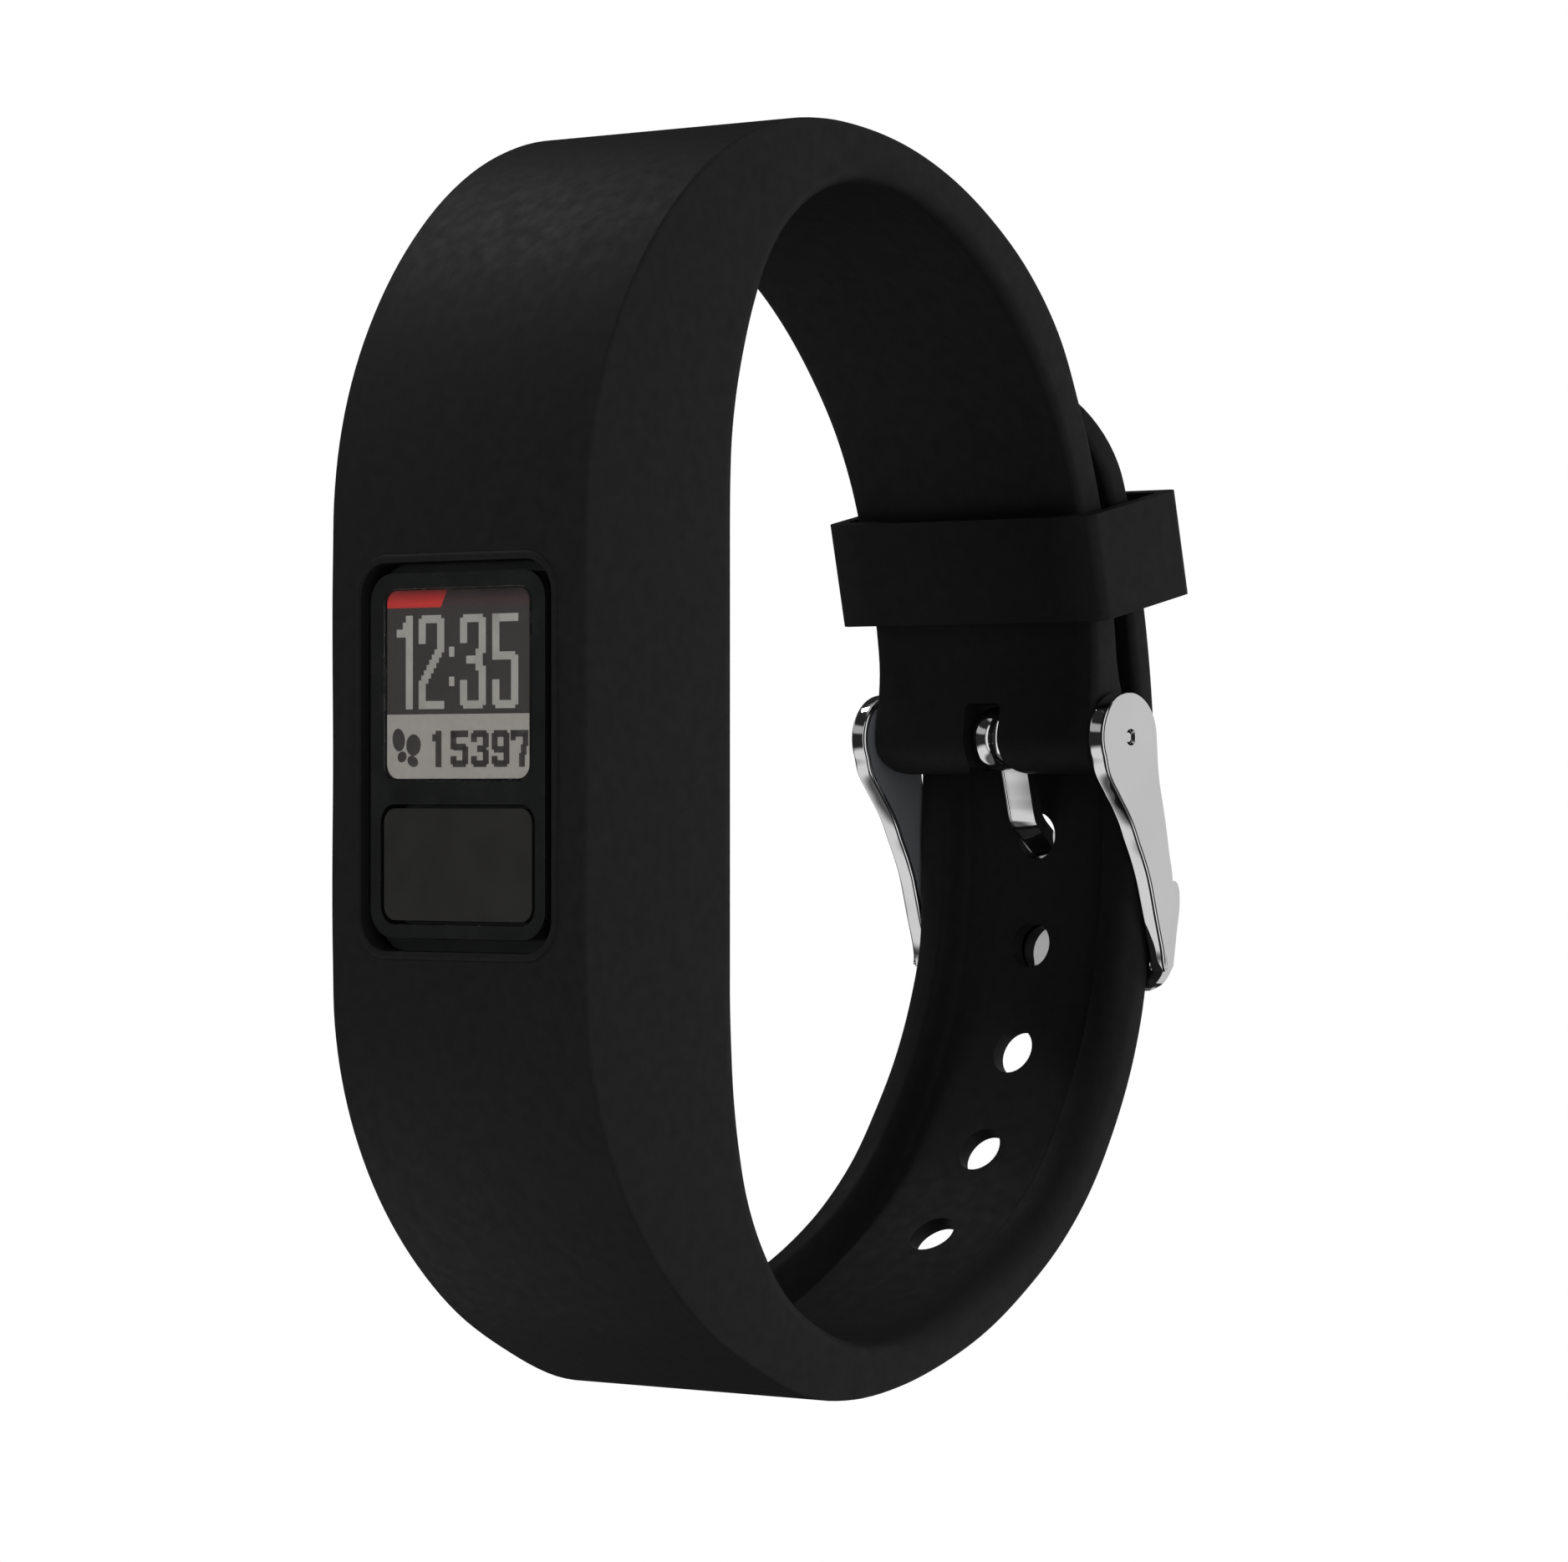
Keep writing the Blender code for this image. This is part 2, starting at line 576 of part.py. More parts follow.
def make_spring_bar():
    pin = (0, PIN_Y, PIN_Z)
    along_x = (0, math.pi / 2, 0)
    tube = [
        (BAR_RADIUS, BAR_HALF_LENGTH), (BAR_RADIUS, -BAR_HALF_LENGTH),
        (BAR_BORE, -BAR_HALF_LENGTH), (BAR_BORE, BAR_HALF_LENGTH),
    ]
    turned("spring_bar_tube", tube, "spring_steel", pin, along_x, ring=True)
    tip = [
        (0, TIP_OUTER_X), (TIP_NOSE_RADIUS * 0.7, TIP_OUTER_X), (TIP_NOSE_RADIUS, TIP_OUTER_X - 0.2),
        (TIP_NOSE_RADIUS, TIP_SHOULDER_X), (TIP_PISTON_RADIUS, TIP_SHOULDER_X),
        (TIP_PISTON_RADIUS, TIP_INNER_X), (0, TIP_INNER_X),
    ]
    turned("spring_bar_tip_right", tip, "polished_steel", pin, along_x, 12)
    turned("spring_bar_tip_left", tip, "polished_steel", pin, (0, -math.pi / 2, 0), 12)
    coil = bpy.data.curves.new("spring_bar_spring", "CURVE")
    coil.dimensions = "3D"
    coil.bevel_depth = COIL_WIRE * MM
    coil.bevel_resolution = 1
    coil.use_fill_caps = True
    half_length = TIP_INNER_X - SAW
    count = COIL_TURNS * COIL_POINTS_PER_TURN
    line = coil.splines.new("POLY")
    line.points.add(count)
    for k, point in enumerate(line.points):
        turn = 2 * math.pi * k / COIL_POINTS_PER_TURN
        x = half_length * (2 * k / count - 1)
        y = PIN_Y + COIL_RADIUS * math.cos(turn)
        z = PIN_Z + COIL_RADIUS * math.sin(turn)
        point.co = (x * MM, y * MM, z * MM, 1)
    mesh = flatten_curve("spring_bar_spring", coil)
    add_object("spring_bar_spring", mesh, "spring_steel")


# Tracker module ------------------------------------------------------------------------------------


def boss_places():
    x, z = BOSS_PLACE
    return ((x, z), (-x, z), (-x, -z), (x, -z))


def make_front_case():
    """A tray open to the wrist, with a raised face that has the lens's and the button's openings."""
    case = plate("front_case", [centred_box(CASE)], (CASE_FLANGE_DEPTH, CASE_END_DEPTH), "case_black")
    face_depths = (FACE_DEPTH, CASE_FLANGE_DEPTH + 0.4)
    cut(case, plate("face_cutter", [rounded_box(*FACE)], face_depths, None), "UNION")
    half_x, half_z, radius = CASE
    hollow = (half_x - CASE_WALL, half_z - CASE_WALL, radius)
    hollow_depths = (CASE_FLOOR_DEPTH, CASE_END_DEPTH + 1)
    cut(case, plate("hollow_cutter", [centred_box(hollow)], hollow_depths, None))
    for number, (x, z) in enumerate(boss_places(), 1):
        boss = plate(
            f"boss_cutter_{number}", [circle((x, z), BOSS_RADIUS)], (BOSS_START_DEPTH, CASE_END_DEPTH), None
        )
        cut(case, boss, "UNION")
        bore = plate(
            f"boss_bore_cutter_{number}", [circle((x, z), BOSS_HOLE, 12)],
            (SCREW_TIP_DEPTH - 0.5, CASE_END_DEPTH + 1), None,
        )
        cut(case, bore)
    cut(case, plate("lens_cutter", [grown(LENS, SAW)], (-1, LEDGE_DEPTH), None))
    cut(case, plate("panel_cutter", [grown(LENS, SAW - PANEL_INSET)], (0, CASE_FLOOR_DEPTH + 1), None))
    cut(case, plate("button_cutter", [grown(BUTTON, 0.2)], (-1, SEAL_LEDGE_DEPTH), None))
    cut(case, plate("ledge_cutter", [grown(BUTTON, -0.4)], (0, CASE_FLOOR_DEPTH + 1), None))


def make_display():
    plate("display_lens", [rounded_box(*LENS)], LENS_DEPTHS, "lens_clear")
    plate("display_panel", [grown(LENS, -PANEL_INSET)], PANEL_DEPTHS, "display_grey")
    plate("display_backplate", [rounded_box(6.3, -0.35, 9.9, 0.5)], BACKPLATE_DEPTHS, "backplate_white")
    sheet = [(2.2, -0.65), (3.6, -0.65), (3.6, -1.9), (3.45, -1.9), (3.45, -0.8), (2.2, -0.8)]
    ribbon = [(FRONT_Y + depth, z) for depth, z in sheet]
    side_slab("display_flex", [ribbon], -3, 3, "polyimide")


def make_button():
    plate("button_cap", [rounded_box(*BUTTON)], BUTTON_DEPTHS, "button_black")
    seal = plate("button_seal", [grown(BUTTON, -0.1)], SEAL_DEPTHS, "silicone_black")
    nub_z = (BUTTON[1] + BUTTON[2]) / 2
    nub_depths = (SEAL_DEPTHS[0] + 0.1, SWITCH_DEPTHS[0] - SAW)
    cut(seal, plate("nub_cutter", [circle((0, nub_z), 1.2)], nub_depths, None), "UNION")
    switch = rounded_box(2.2, nub_z - 2.2, nub_z + 2.2, 0.4, 2)
    plate("tactile_switch", [switch], SWITCH_DEPTHS, "cell_steel")


def make_electronics():
    plate("main_board", [centred_box(BOARD)], BOARD_DEPTHS, "board_green")
    plate("processor_chip", [rounded_box(2.4, -4.2, 0.6, 0.2, 2)], CHIP_DEPTHS, "chip_black")
    radio = [(x + 3.2, z) for x, z in rounded_box(1.6, 2.6, 5.8, 0.2, 2)]
    plate("radio_chip", [radio], CHIP_DEPTHS, "chip_black")
    sensor = [(x - 3.2, z) for x, z in rounded_box(1.1, 3.0, 5.2, 0.2, 2)]
    plate("accelerometer_chip", [sensor], CHIP_DEPTHS, "chip_black")
    antenna = [(-4.5, 9.9), (-4.5, 8.0), (-3.7, 8.0), (-3.7, 9.1), (4.5, 9.1), (4.5, 9.9)]
    plate("antenna_strip", [antenna], (5.0, 5.5), "gold_plate")


def make_battery():
    (front_contact, rear_contact) = CONTACT_DEPTHS
    contact = rounded_box(1.6, -4.8, 4.8, 0.6, 2)
    plate("battery_contact_negative", [contact], front_contact, "gold_plate")
    plate("battery_contact_positive", [contact], rear_contact, "gold_plate")
    tray = rounded_box(6.6, -8.3, 8.3, 0.8)
    hole = circle((0, 0), CELL_RADIUS + 0.25, 32)
    plate("battery_tray", [tray, hole], TRAY_DEPTHS, "tray_grey")
    rim = 0.25
    for name, (shallow, deep) in zip(("coin_cell_front", "coin_cell_rear"), CELL_DEPTHS):
        half = (deep - shallow) / 2
        profile = [
            (0, half), (CELL_RADIUS - 0.9, half), (CELL_RADIUS - 0.6, half - rim),
            (CELL_RADIUS, half - rim), (CELL_RADIUS, -half), (0, -half),
        ]
        place = (0, FRONT_Y + (shallow + deep) / 2, 0)
        turned(name, profile, "cell_steel", place, (math.pi / 2, 0, 0), 24)


def make_back():
    """The gasket on the case's rim, the cover over it and the four screws that hold the cover."""
    gasket = [rounded_box(7.6, -11.3, 11.3, 1.0), rounded_box(7.1, -10.8, 10.8, 0.9)]
    plate("case_gasket", gasket, GASKET_DEPTHS, "seal_red")
    holes = [circle(place, 0.8, 12) for place in boss_places()]
    cover = plate("back_cover", [centred_box(CASE), *holes], COVER_DEPTHS, "case_black")
    for number, (x, z) in enumerate(boss_places(), 1):
        sink = plate(
            f"counterbore_cutter_{number}", [circle((x, z), COUNTERBORE)],
            (COUNTERBORE_DEPTH, COVER_DEPTHS[1] + 1), None,
        )
        cut(cover, sink)
        head_front, head_back = SCREW_HEAD_DEPTHS
        profile = [
            (0, head_back), (SCREW_HEAD_RADIUS * 0.8, head_back),
            (SCREW_HEAD_RADIUS, head_back - 0.15), (SCREW_HEAD_RADIUS, head_front),
            (SCREW_SHANK_RADIUS, head_front), (SCREW_SHANK_RADIUS, SCREW_TIP_DEPTH + 0.3),
            (SCREW_SHANK_RADIUS * 0.4, SCREW_TIP_DEPTH), (0, SCREW_TIP_DEPTH),
        ]
        turned(
            f"cover_screw_{number}", profile, "polished_steel", (x, FRONT_Y, z),
            (-math.pi / 2, 0, 0), 12,
        )


clear_scene()
MATERIALS = make_materials()
PARTS = new_collection("fitness_tracker_band")
CUTTERS = new_collection("cutters")
make_strap()
make_keeper()
make_buckle_frame()
make_tongue()
make_spring_bar()
make_front_case()
make_display()
make_button()
make_electronics()
make_battery()
make_back()
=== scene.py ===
"""Looks of the fitness tracker band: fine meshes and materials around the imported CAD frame.

The frame is in metres. Dimensions here are millimetres, and MM turns them into metres. X is the
wrist's axis, the display looks along -Y and +Z is up.
"""

import json
import math

import bmesh
import bpy
import numpy as np
from mathutils import Matrix, Vector


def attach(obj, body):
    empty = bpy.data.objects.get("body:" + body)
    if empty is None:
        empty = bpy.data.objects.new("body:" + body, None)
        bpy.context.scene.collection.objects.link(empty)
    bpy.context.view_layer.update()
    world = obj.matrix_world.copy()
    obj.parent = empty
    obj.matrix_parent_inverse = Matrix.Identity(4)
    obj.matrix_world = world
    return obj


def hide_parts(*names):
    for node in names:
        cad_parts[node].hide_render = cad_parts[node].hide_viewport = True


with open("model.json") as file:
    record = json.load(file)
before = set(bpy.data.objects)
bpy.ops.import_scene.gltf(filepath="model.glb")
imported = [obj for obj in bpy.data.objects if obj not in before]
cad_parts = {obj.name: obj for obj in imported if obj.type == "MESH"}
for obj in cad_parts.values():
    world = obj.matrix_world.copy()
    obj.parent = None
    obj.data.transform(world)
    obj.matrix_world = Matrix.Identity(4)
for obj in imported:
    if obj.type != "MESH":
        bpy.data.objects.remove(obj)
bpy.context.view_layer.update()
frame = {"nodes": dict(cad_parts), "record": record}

MM = 0.001

# Camera: how far round towards +X from straight in front it stands, its place, its upward pitch and
# its lens. Then the floor's height.
CAMERA_AZIMUTH = math.radians(40.5)
CAMERA_PLACE = (236.4, -274.7, -2.2)
CAMERA_PITCH = math.radians(0.15)
CAMERA_LENS = 143.0
FLOOR_Z = -260.0
FLOOR_HALF_SIZE = 6000.0

# How far a cutter reaches past what it cuts.
CUT_MARGIN = 1

# Strap moulding. The window and its bead are half width, bottom, top and corner radius. The pocket is
# half width, half height and corner radius.
FRONT_Y = -25.7
HOUSING_INNER_Y = -13.0
OUTER_EDGE = 0.22
STATION_SPACING = 0.7
TAIL_ROUNDING = 8.0
TAIL_STEPS = 20
TAIL_TIP = 0.004
TAIL_LEAST_EDGE = 0.4
BARREL_EDGE = 0.5
RAIL_FOOT = 0.74
CHANNEL_EDGE = 0.58
HOLE_RADIUS = 1.43
HOLE_PITCH = 6.66
HOLE_CUTTER_LENGTH = 3
HOLES_BELOW_TONGUE = 4
HOLES_ABOVE_TONGUE = 3
TONGUE_HOLE_Z = -4.6
PIN_Y = 22.6
PIN_Z = 1.4
BARREL_RADIUS = 2.2
BARREL_BORE = 1.2
BARREL_BORE_LENGTH = 30
SLOT_WIDTH = 2.7
SLOT_TOP_Z = 3.5
SLOT_FLARE = 1.1
SLOT_CORNER = 0.3
SLOT_BEHIND_BARREL = 0.3
LIP = 1.2
WINDOW = (7.2, -10.75, 10.82, 1.9)
BEAD = (7.42, -10.98, 11.04, 2.15)
BEAD_RADIUS = 0.28
BEAD_STANDS = 0.2
POCKET = (8.1, 11.8, 1.3)

# The strap's side view, from above its barrel end round to the tail: outer y, z, inner y, z, half
# width, then the inner edge's rounding (its depth and its width) and how deep the channel between the
# inner rails is. These are the CAD's stations, with narrower rails in three rows behind the buckle.
STRAP_STATIONS = (
    (24.35, 2.6, 20.55, 2.7, 8.5, 0.5, 0.5, 0.0),
    (23.6, 4.0, 20.72, 4.0, 8.5, 0.5, 0.5, 0.0),
    (23.15, 5.6, 20.8, 5.5, 8.5, 0.5, 0.5, 0.0),
    (22.8, 8.0, 20.6, 7.9, 8.55, 0.5, 0.5, 0.0),
    (22.25, 11.0, 20.12, 10.6, 8.6, 0.5, 0.5, 0.0),
    (21.5, 14.2, 19.4, 13.6, 8.7, 0.5, 0.5, 0.0),
    (20.4, 17.7, 18.35, 16.9, 8.75, 0.5, 0.5, 0.0),
    (18.9, 21.3, 16.85, 20.1, 8.85, 0.6, 0.6, 0.0),
    (16.85, 25.2, 14.6, 23.5, 9.0, 0.7, 0.7, 0.0),
    (13.7, 28.85, 11.7, 26.8, 9.15, 0.8, 0.8, 0.0),
    (9.85, 31.75, 8.4, 29.5, 9.3, 0.9, 0.9, 0.0),
    (6.2, 33.75, 5.1, 31.4, 9.4, 0.9, 0.9, 0.0),
    (2.2, 35.2, 1.6, 32.6, 9.5, 0.9, 0.9, 0.0),
    (-1.8, 36.0, -2.0, 32.9, 9.55, 1.0, 1.0, 0.0),
    (-5.65, 36.22, -5.3, 32.0, 9.6, 1.1, 1.1, 0.0),
    (-9.7, 35.7, -8.2, 30.0, 9.65, 1.2, 1.2, 0.0),
    (-13.5, 34.2, -10.0, 27.6, 9.65, 1.3, 1.3, 0.0),
    (-16.9, 31.85, -11.1, 25.1, 9.65, 1.3, 1.3, 0.0),
    (-20.1, 28.5, -11.9, 22.6, 9.65, 1.3, 1.3, 0.0),
    (-22.5, 24.9, -12.5, 20.1, 9.65, 1.3, 1.3, 0.0),
    (-24.2, 21.2, -12.85, 17.7, 9.65, 1.3, 1.3, 0.0),
    (-25.2, 17.6, -12.97, 15.4, 9.65, 1.3, 1.3, 0.0),
    (-25.62, 14.4, -13.0, 13.3, 9.65, 1.3, 1.3, 0.0),
    (-25.7, 11.6, -13.0, 11.4, 9.65, 1.3, 1.3, 0.0),
    (-25.7, 0.0, -13.0, 0.0, 9.65, 1.3, 1.3, 0.0),
    (-25.7, -11.6, -13.0, -11.4, 9.65, 1.3, 1.3, 0.0),
    (-25.6, -14.5, -13.0, -13.4, 9.65, 1.3, 1.3, 0.0),
    (-25.05, -17.8, -12.9, -16.0, 9.65, 1.3, 1.3, 0.0),
    (-23.85, -21.4, -12.7, -18.8, 9.65, 1.3, 1.3, 0.0),
    (-22.0, -24.9, -12.3, -21.5, 9.65, 1.3, 1.3, 0.0),
    (-19.3, -28.4, -11.6, -24.4, 9.65, 1.3, 1.3, 0.0),
    (-15.8, -31.6, -10.4, -27.2, 9.65, 1.2, 1.2, 0.0),
    (-11.7, -34.05, -8.5, -29.9, 9.65, 1.1, 1.1, 0.0),
    (-7.0, -36.02, -5.6, -32.0, 9.6, 1.0, 1.0, 0.0),
    (-2.75, -36.47, -2.3, -33.2, 9.55, 0.9, 1.2, 0.6),
    (1.5, -36.0, 1.28, -33.15, 9.5, 1.1, 1.7, 1.3),
    (5.55, -34.95, 4.73, -32.33, 9.4, 1.3, 2.0, 1.7),
    (9.65, -33.4, 8.32, -30.88, 9.25, 1.4, 2.1, 1.8),
    (13.6, -31.2, 12.04, -29.03, 9.1, 1.4, 2.1, 1.65),
    (17.1, -28.65, 15.31, -26.8, 9.0, 1.4, 2.1, 1.6),
    (19.95, -25.75, 18.01, -24.16, 8.9, 1.4, 2.1, 1.55),
    (22.3, -22.35, 20.14, -21.1, 8.8, 1.4, 2.1, 1.5),
    (24.15, -18.85, 21.89, -18.0, 8.7, 1.4, 2.1, 1.42),
    (25.45, -15.3, 23.17, -14.73, 8.6, 1.4, 2.1, 1.4),
    (26.2, -11.9, 23.96, -11.47, 8.5, 1.4, 2.1, 1.35),
    (26.65, -8.3, 24.4, -8.15, 8.5, 1.1, 1.6, 1.35),
    (26.85, -4.6, 24.6, -4.6, 8.5, 0.8, 1.1, 1.35),
    (26.85, -0.5, 24.9, -0.62, 8.5, 0.6, 0.8, 1.05),
    (26.55, 4.0, 25.0, 3.7, 8.5, 0.5, 0.7, 0.65),
    (25.95, 8.3, 24.4, 7.9, 8.5, 0.5, 0.5, 0.65),
    (25.05, 12.5, 23.5, 12.0, 8.5, 0.5, 0.5, 0.6),
    (23.8, 16.7, 22.3, 16.0, 8.5, 0.5, 0.5, 0.5),
    (22.4, 20.3, 21.0, 19.5, 8.5, 0.5, 0.5, 0.25),
    (20.5, 24.2, 19.2, 23.3, 8.5, 0.5, 0.5, 0.0),
)

# The barrel end below the first station: half widths at angles round the pin, in degrees from level.
BARREL_HALF_WIDTHS = (
    (-84, 7.0), (-76, 7.5), (-66, 7.9), (-54, 8.15), (-40, 8.35), (-24, 8.48), (-8, 8.5), (8, 8.5),
)

# Keeper: its inside's half width and half depth, and its corner radii inside and outside.
KEEPER_Y = 23.1
KEEPER_Z = 12.35
KEEPER_TILT = math.radians(12.5)
KEEPER_HALF_HEIGHT = 3.18
KEEPER_INNER = (9.4, 3.55)
KEEPER_WALL = 0.9
KEEPER_CORNERS = (0.5, 0.75)
KEEPER_BEVEL = 0.22

# Buckle. The outlines are (y, z), as seen from the side.
ARM_INNER_X = 8.62
ARM_THICKNESS = 1.2
HEAD_RADIUS = 2.72
HEAD_ARC = (5, 205)
HEAD_HOLE = 0.5
HEAD_HOLE_LENGTH = 4
TONGUE_WIDTH = 2.0
TONGUE_EYE_WIDTH = 2.2
TONGUE_EYE_RADIUS = 2.0
TONGUE_EYE_HOLE = 1.15
EYE_BULGE = 0.7
TONGUE_THICKNESS = 0.6
TONGUE_BEVEL = 0.13
ARM_BEVEL = 0.24
CROSSBAR_BEVEL = 0.22
CROSSBAR_END_BEVEL = 0.08
OUTLINE_SPACING = 0.12
ARM_INNER_EDGE = (
    (20.35, -0.5), (21.48, -2.07), (22.29, -3.06), (22.8, -3.8), (23.35, -4.85), (23.9, -5.85),
    (24.45, -7.05), (24.86, -8.34), (25.23, -9.62), (25.56, -10.66), (25.8, -11.5), (25.95, -12.3),
    (26.08, -12.75),
)
ARM_OUTER_EDGE = (
    (26.22, -12.75), (26.35, -11.6), (26.52, -10.4), (26.8, -8.6), (26.93, -7.55), (26.88, -6.8),
    (26.62, -5.7), (26.3, -4.1), (25.97, -2.69), (25.6, -1.2),
)
CROSSBAR = (
    (26.95, -7.45), (27.25, -7.5), (27.42, -7.9), (27.46, -8.4), (27.15, -10.4), (26.83, -12.3),
    (26.58, -13.6), (26.3, -13.95), (26.0, -13.75), (26.28, -12.3), (26.62, -10.4), (26.88, -8.4),
)
CROSSBAR_CORNER = 1.7
CROSSBAR_END_X = 9.66
CROSSBAR_TRIM = (40, 60)
CROSSBAR_CLEAR = 0.01
OUTLINE_STEP = 0.25
CROSSBAR_STEP = 0.2
TONGUE_STEP = 0.3
TONGUE_LINE = (
    (23.95, 0.6), (24.08, -0.2), (24.33, -1.2), (24.6, -2.3), (24.83, -3.2), (24.93, -3.5),
    (25.12, -3.75), (26.0, -4.5), (27.0, -5.36), (27.8, -6.3), (28.1, -7.5), (28.0, -9.4), (27.65, -11.2),
)

# Tracker module, with depths behind the strap's front face. The case is half width, half height and
# corner radius. The face, the glass and the button are half width, bottom, top and corner radius.
CASE = (7.8, 11.5, 1.1)
CASE_FLANGE_DEPTH = 1.5
CASE_FLOOR_DEPTH = 2.3
CASE_END_DEPTH = 10.2
CASE_WALL = 0.9
FACE_DEPTH = 0.05
FACE = (6.6, -9.98, 10.22, 1.6)
FACE_SEAT = 0.02
FLOOR_LEDGE = 0.4
LENS = (5.6, -1.3, 9.35, 0.9)
LENS_GAP = 0.03
LENS_DEPTHS = (0.06, 0.12)
BORDER_DEPTHS = (0.125, 0.17)
BORDER_INSET = 0.02
BORDER_CORNER = 0.75
BUTTON = (5.6, -9.02, -2.82, 0.8)
BUTTON_GAP = 0.24
BUTTON_DEPTHS = (0.08, 1.0)
BOSS_PLACE = (6.1, 9.8)
SCREW_HEAD_RADIUS = 0.95
SCREW_SHANK_RADIUS = 0.5
SCREW_HEAD_DEPTHS = (12.0, 12.4)
SCREW_TIP_DEPTH = 7.6
SCREW_POINT_LENGTH = 0.6
THREAD_PITCH = 0.35
THREAD_DEPTH = 0.08
THREAD_START = 0.3
RECESS_ARM = (0.14, 0.62)
RECESS_CORNER = 0.05
RECESS_DEPTH = 0.22

# Bevels: the case's shell and face, the glass, the button, the screws' heads, and the larger edges of
# the CAD nodes that stay on show.
SHELL_BEVEL = 0.12
FACE_BEVEL = 0.16
LENS_BEVEL = 0.05
BUTTON_BEVEL = 0.18
SCREW_HEAD_BEVEL = 0.15
CAD_BEVELS = {
    "back_cover": 0.2,
    "spring_bar_tip_left": 0.08,
    "spring_bar_tip_right": 0.08,
    "battery_tray": 0.15,
    "processor_chip": 0.08,
    "radio_chip": 0.08,
    "accelerometer_chip": 0.06,
    "tactile_switch": 0.1,
}

# Display picture: its half width, bottom and top, the depths of its layers, and how far each block of
# ink spreads.
SCREEN = (5.4, -1.17, 9.27)
SCREEN_BACK_DEPTHS = (0.165, 0.25)
SCREEN_BLOCK_DEPTHS = (0.15, 0.16)
SCREEN_INK_DEPTHS = (0.132, 0.142)
INK_SPREAD = 0.03


# Meshes --------------------------------------------------------------------------------------------


def link(name, data, material, location=(0, 0, 0), rotation=(0, 0, 0)):
    """A new object in the scene, at a place in millimetres."""
    thing = bpy.data.objects.new(name, data)
    thing.location = [value * MM for value in location]
    thing.rotation_euler = rotation
    bpy.context.scene.collection.objects.link(thing)
    if material is not None:
        data.materials.append(material)
    return thing


def flatten(thing):
    """A new welded mesh of an object with its modifiers applied. The object is removed."""
    bpy.context.view_layer.update()
    graph = bpy.context.evaluated_depsgraph_get()
    mesh = bpy.data.meshes.new_from_object(thing.evaluated_get(graph))
    bpy.data.objects.remove(thing, do_unlink=True)
    work = bmesh.new()
    work.from_mesh(mesh)
    bmesh.ops.remove_doubles(work, verts=work.verts, dist=1e-6)
    bmesh.ops.recalc_face_normals(work, faces=work.faces)
    work.to_mesh(mesh)
    work.free()
    return mesh


def mesh_of(name, work):
    """A new mesh from a bmesh, which is freed."""
    mesh = bpy.data.meshes.new(name)
    work.to_mesh(mesh)
    work.free()
    return mesh


def add_loop(curve, points):
    """Adds a closed line through points in millimetres to a curve."""
    line = curve.splines.new("POLY")
    line.points.add(len(points) - 1)
    for point, place in zip(line.points, points):
        point.co = (*[value * MM for value in place], 1)
    line.use_cyclic_u = True


def slab_mesh(name, outlines, thickness):
    """A flat sheet in local XY, thickness thick about z = 0. Outlines after the first are its holes."""
    curve = bpy.data.curves.new(name, "CURVE")
    curve.dimensions = "2D"
    curve.fill_mode = "BOTH"
    curve.extrude = thickness * MM / 2
    for outline in outlines:
        add_loop(curve, [(across, up, 0) for across, up in outline])
    return flatten(link(name, curve, None))


def plate(name, outlines, depths, material=None):
    """A slab facing the front: outlines are (x, z), spanning two depths behind the front face."""
    shallow, deep = depths
    mesh = slab_mesh(name, outlines, deep - shallow)
    middle = (0, FRONT_Y + (shallow + deep) / 2, 0)
    return link(name, mesh, material, middle, (math.pi / 2, 0, 0))


def rounded_box(half_x, low, high, radius, steps=12):
    """A rectangle with round corners, centred across."""
    points = []
    for side_x, side_z, start in ((1, 1, 0), (-1, 1, 90), (-1, -1, 180), (1, -1, 270)):
        centre_x = side_x * (half_x - radius)
        centre_z = (high - radius) if side_z > 0 else (low + radius)
        for step in range(steps + 1):
            turn = math.radians(start + 90 * step / steps)
            points.append((centre_x + radius * math.cos(turn), centre_z + radius * math.sin(turn)))
    return points


def centred_box(size, steps=12):
    """A rounded rectangle about the origin, from its half width, half height and corner radius."""
    half_x, half_z, radius = size
    return rounded_box(half_x, -half_z, half_z, radius, steps)


def grown(size, margin):
    """A rounded rectangle made larger all round by a margin, or smaller by a negative one."""
    half_x, low, high, radius = size
    corner = max(radius + margin, 0.2)
    return rounded_box(half_x + margin, low - margin, high + margin, corner)


def arc(centre, radius, start, end, steps):
    """Points on a circle from start to end, in degrees."""
    angles = [math.radians(start + (end - start) * k / steps) for k in range(steps + 1)]
    return [(centre[0] + radius * math.cos(a), centre[1] + radius * math.sin(a)) for a in angles]


def circle(centre, radius, steps=40):
    return arc(centre, radius, 0, 360, steps)[:-1]


def smooth_line(points, spacing):
    """Points at about that spacing on a smooth curve through a few."""
    points = np.array(points, float)
    along = distances(points)
    slopes = np.gradient(points, along, axis=0)
    places = np.linspace(0, along[-1], max(2, round(along[-1] / spacing) + 1))
    return [tuple(read_curve(points, slopes, along, s)) for s in places]


def distances(points):
    """How far along the line each of its points lies."""
    steps = np.linalg.norm(np.diff(points, axis=0), axis=1)
    return np.concatenate([[0], np.cumsum(steps)])


def read_curve(values, slopes, along, s):
    """The values at distance s on a curve with those values and slopes at the distances along it."""
    k = int(np.clip(np.searchsorted(along, s) - 1, 0, len(along) - 2))
    return hermite(values[k], values[k + 1], slopes[k], slopes[k + 1], along[k], along[k + 1], s)


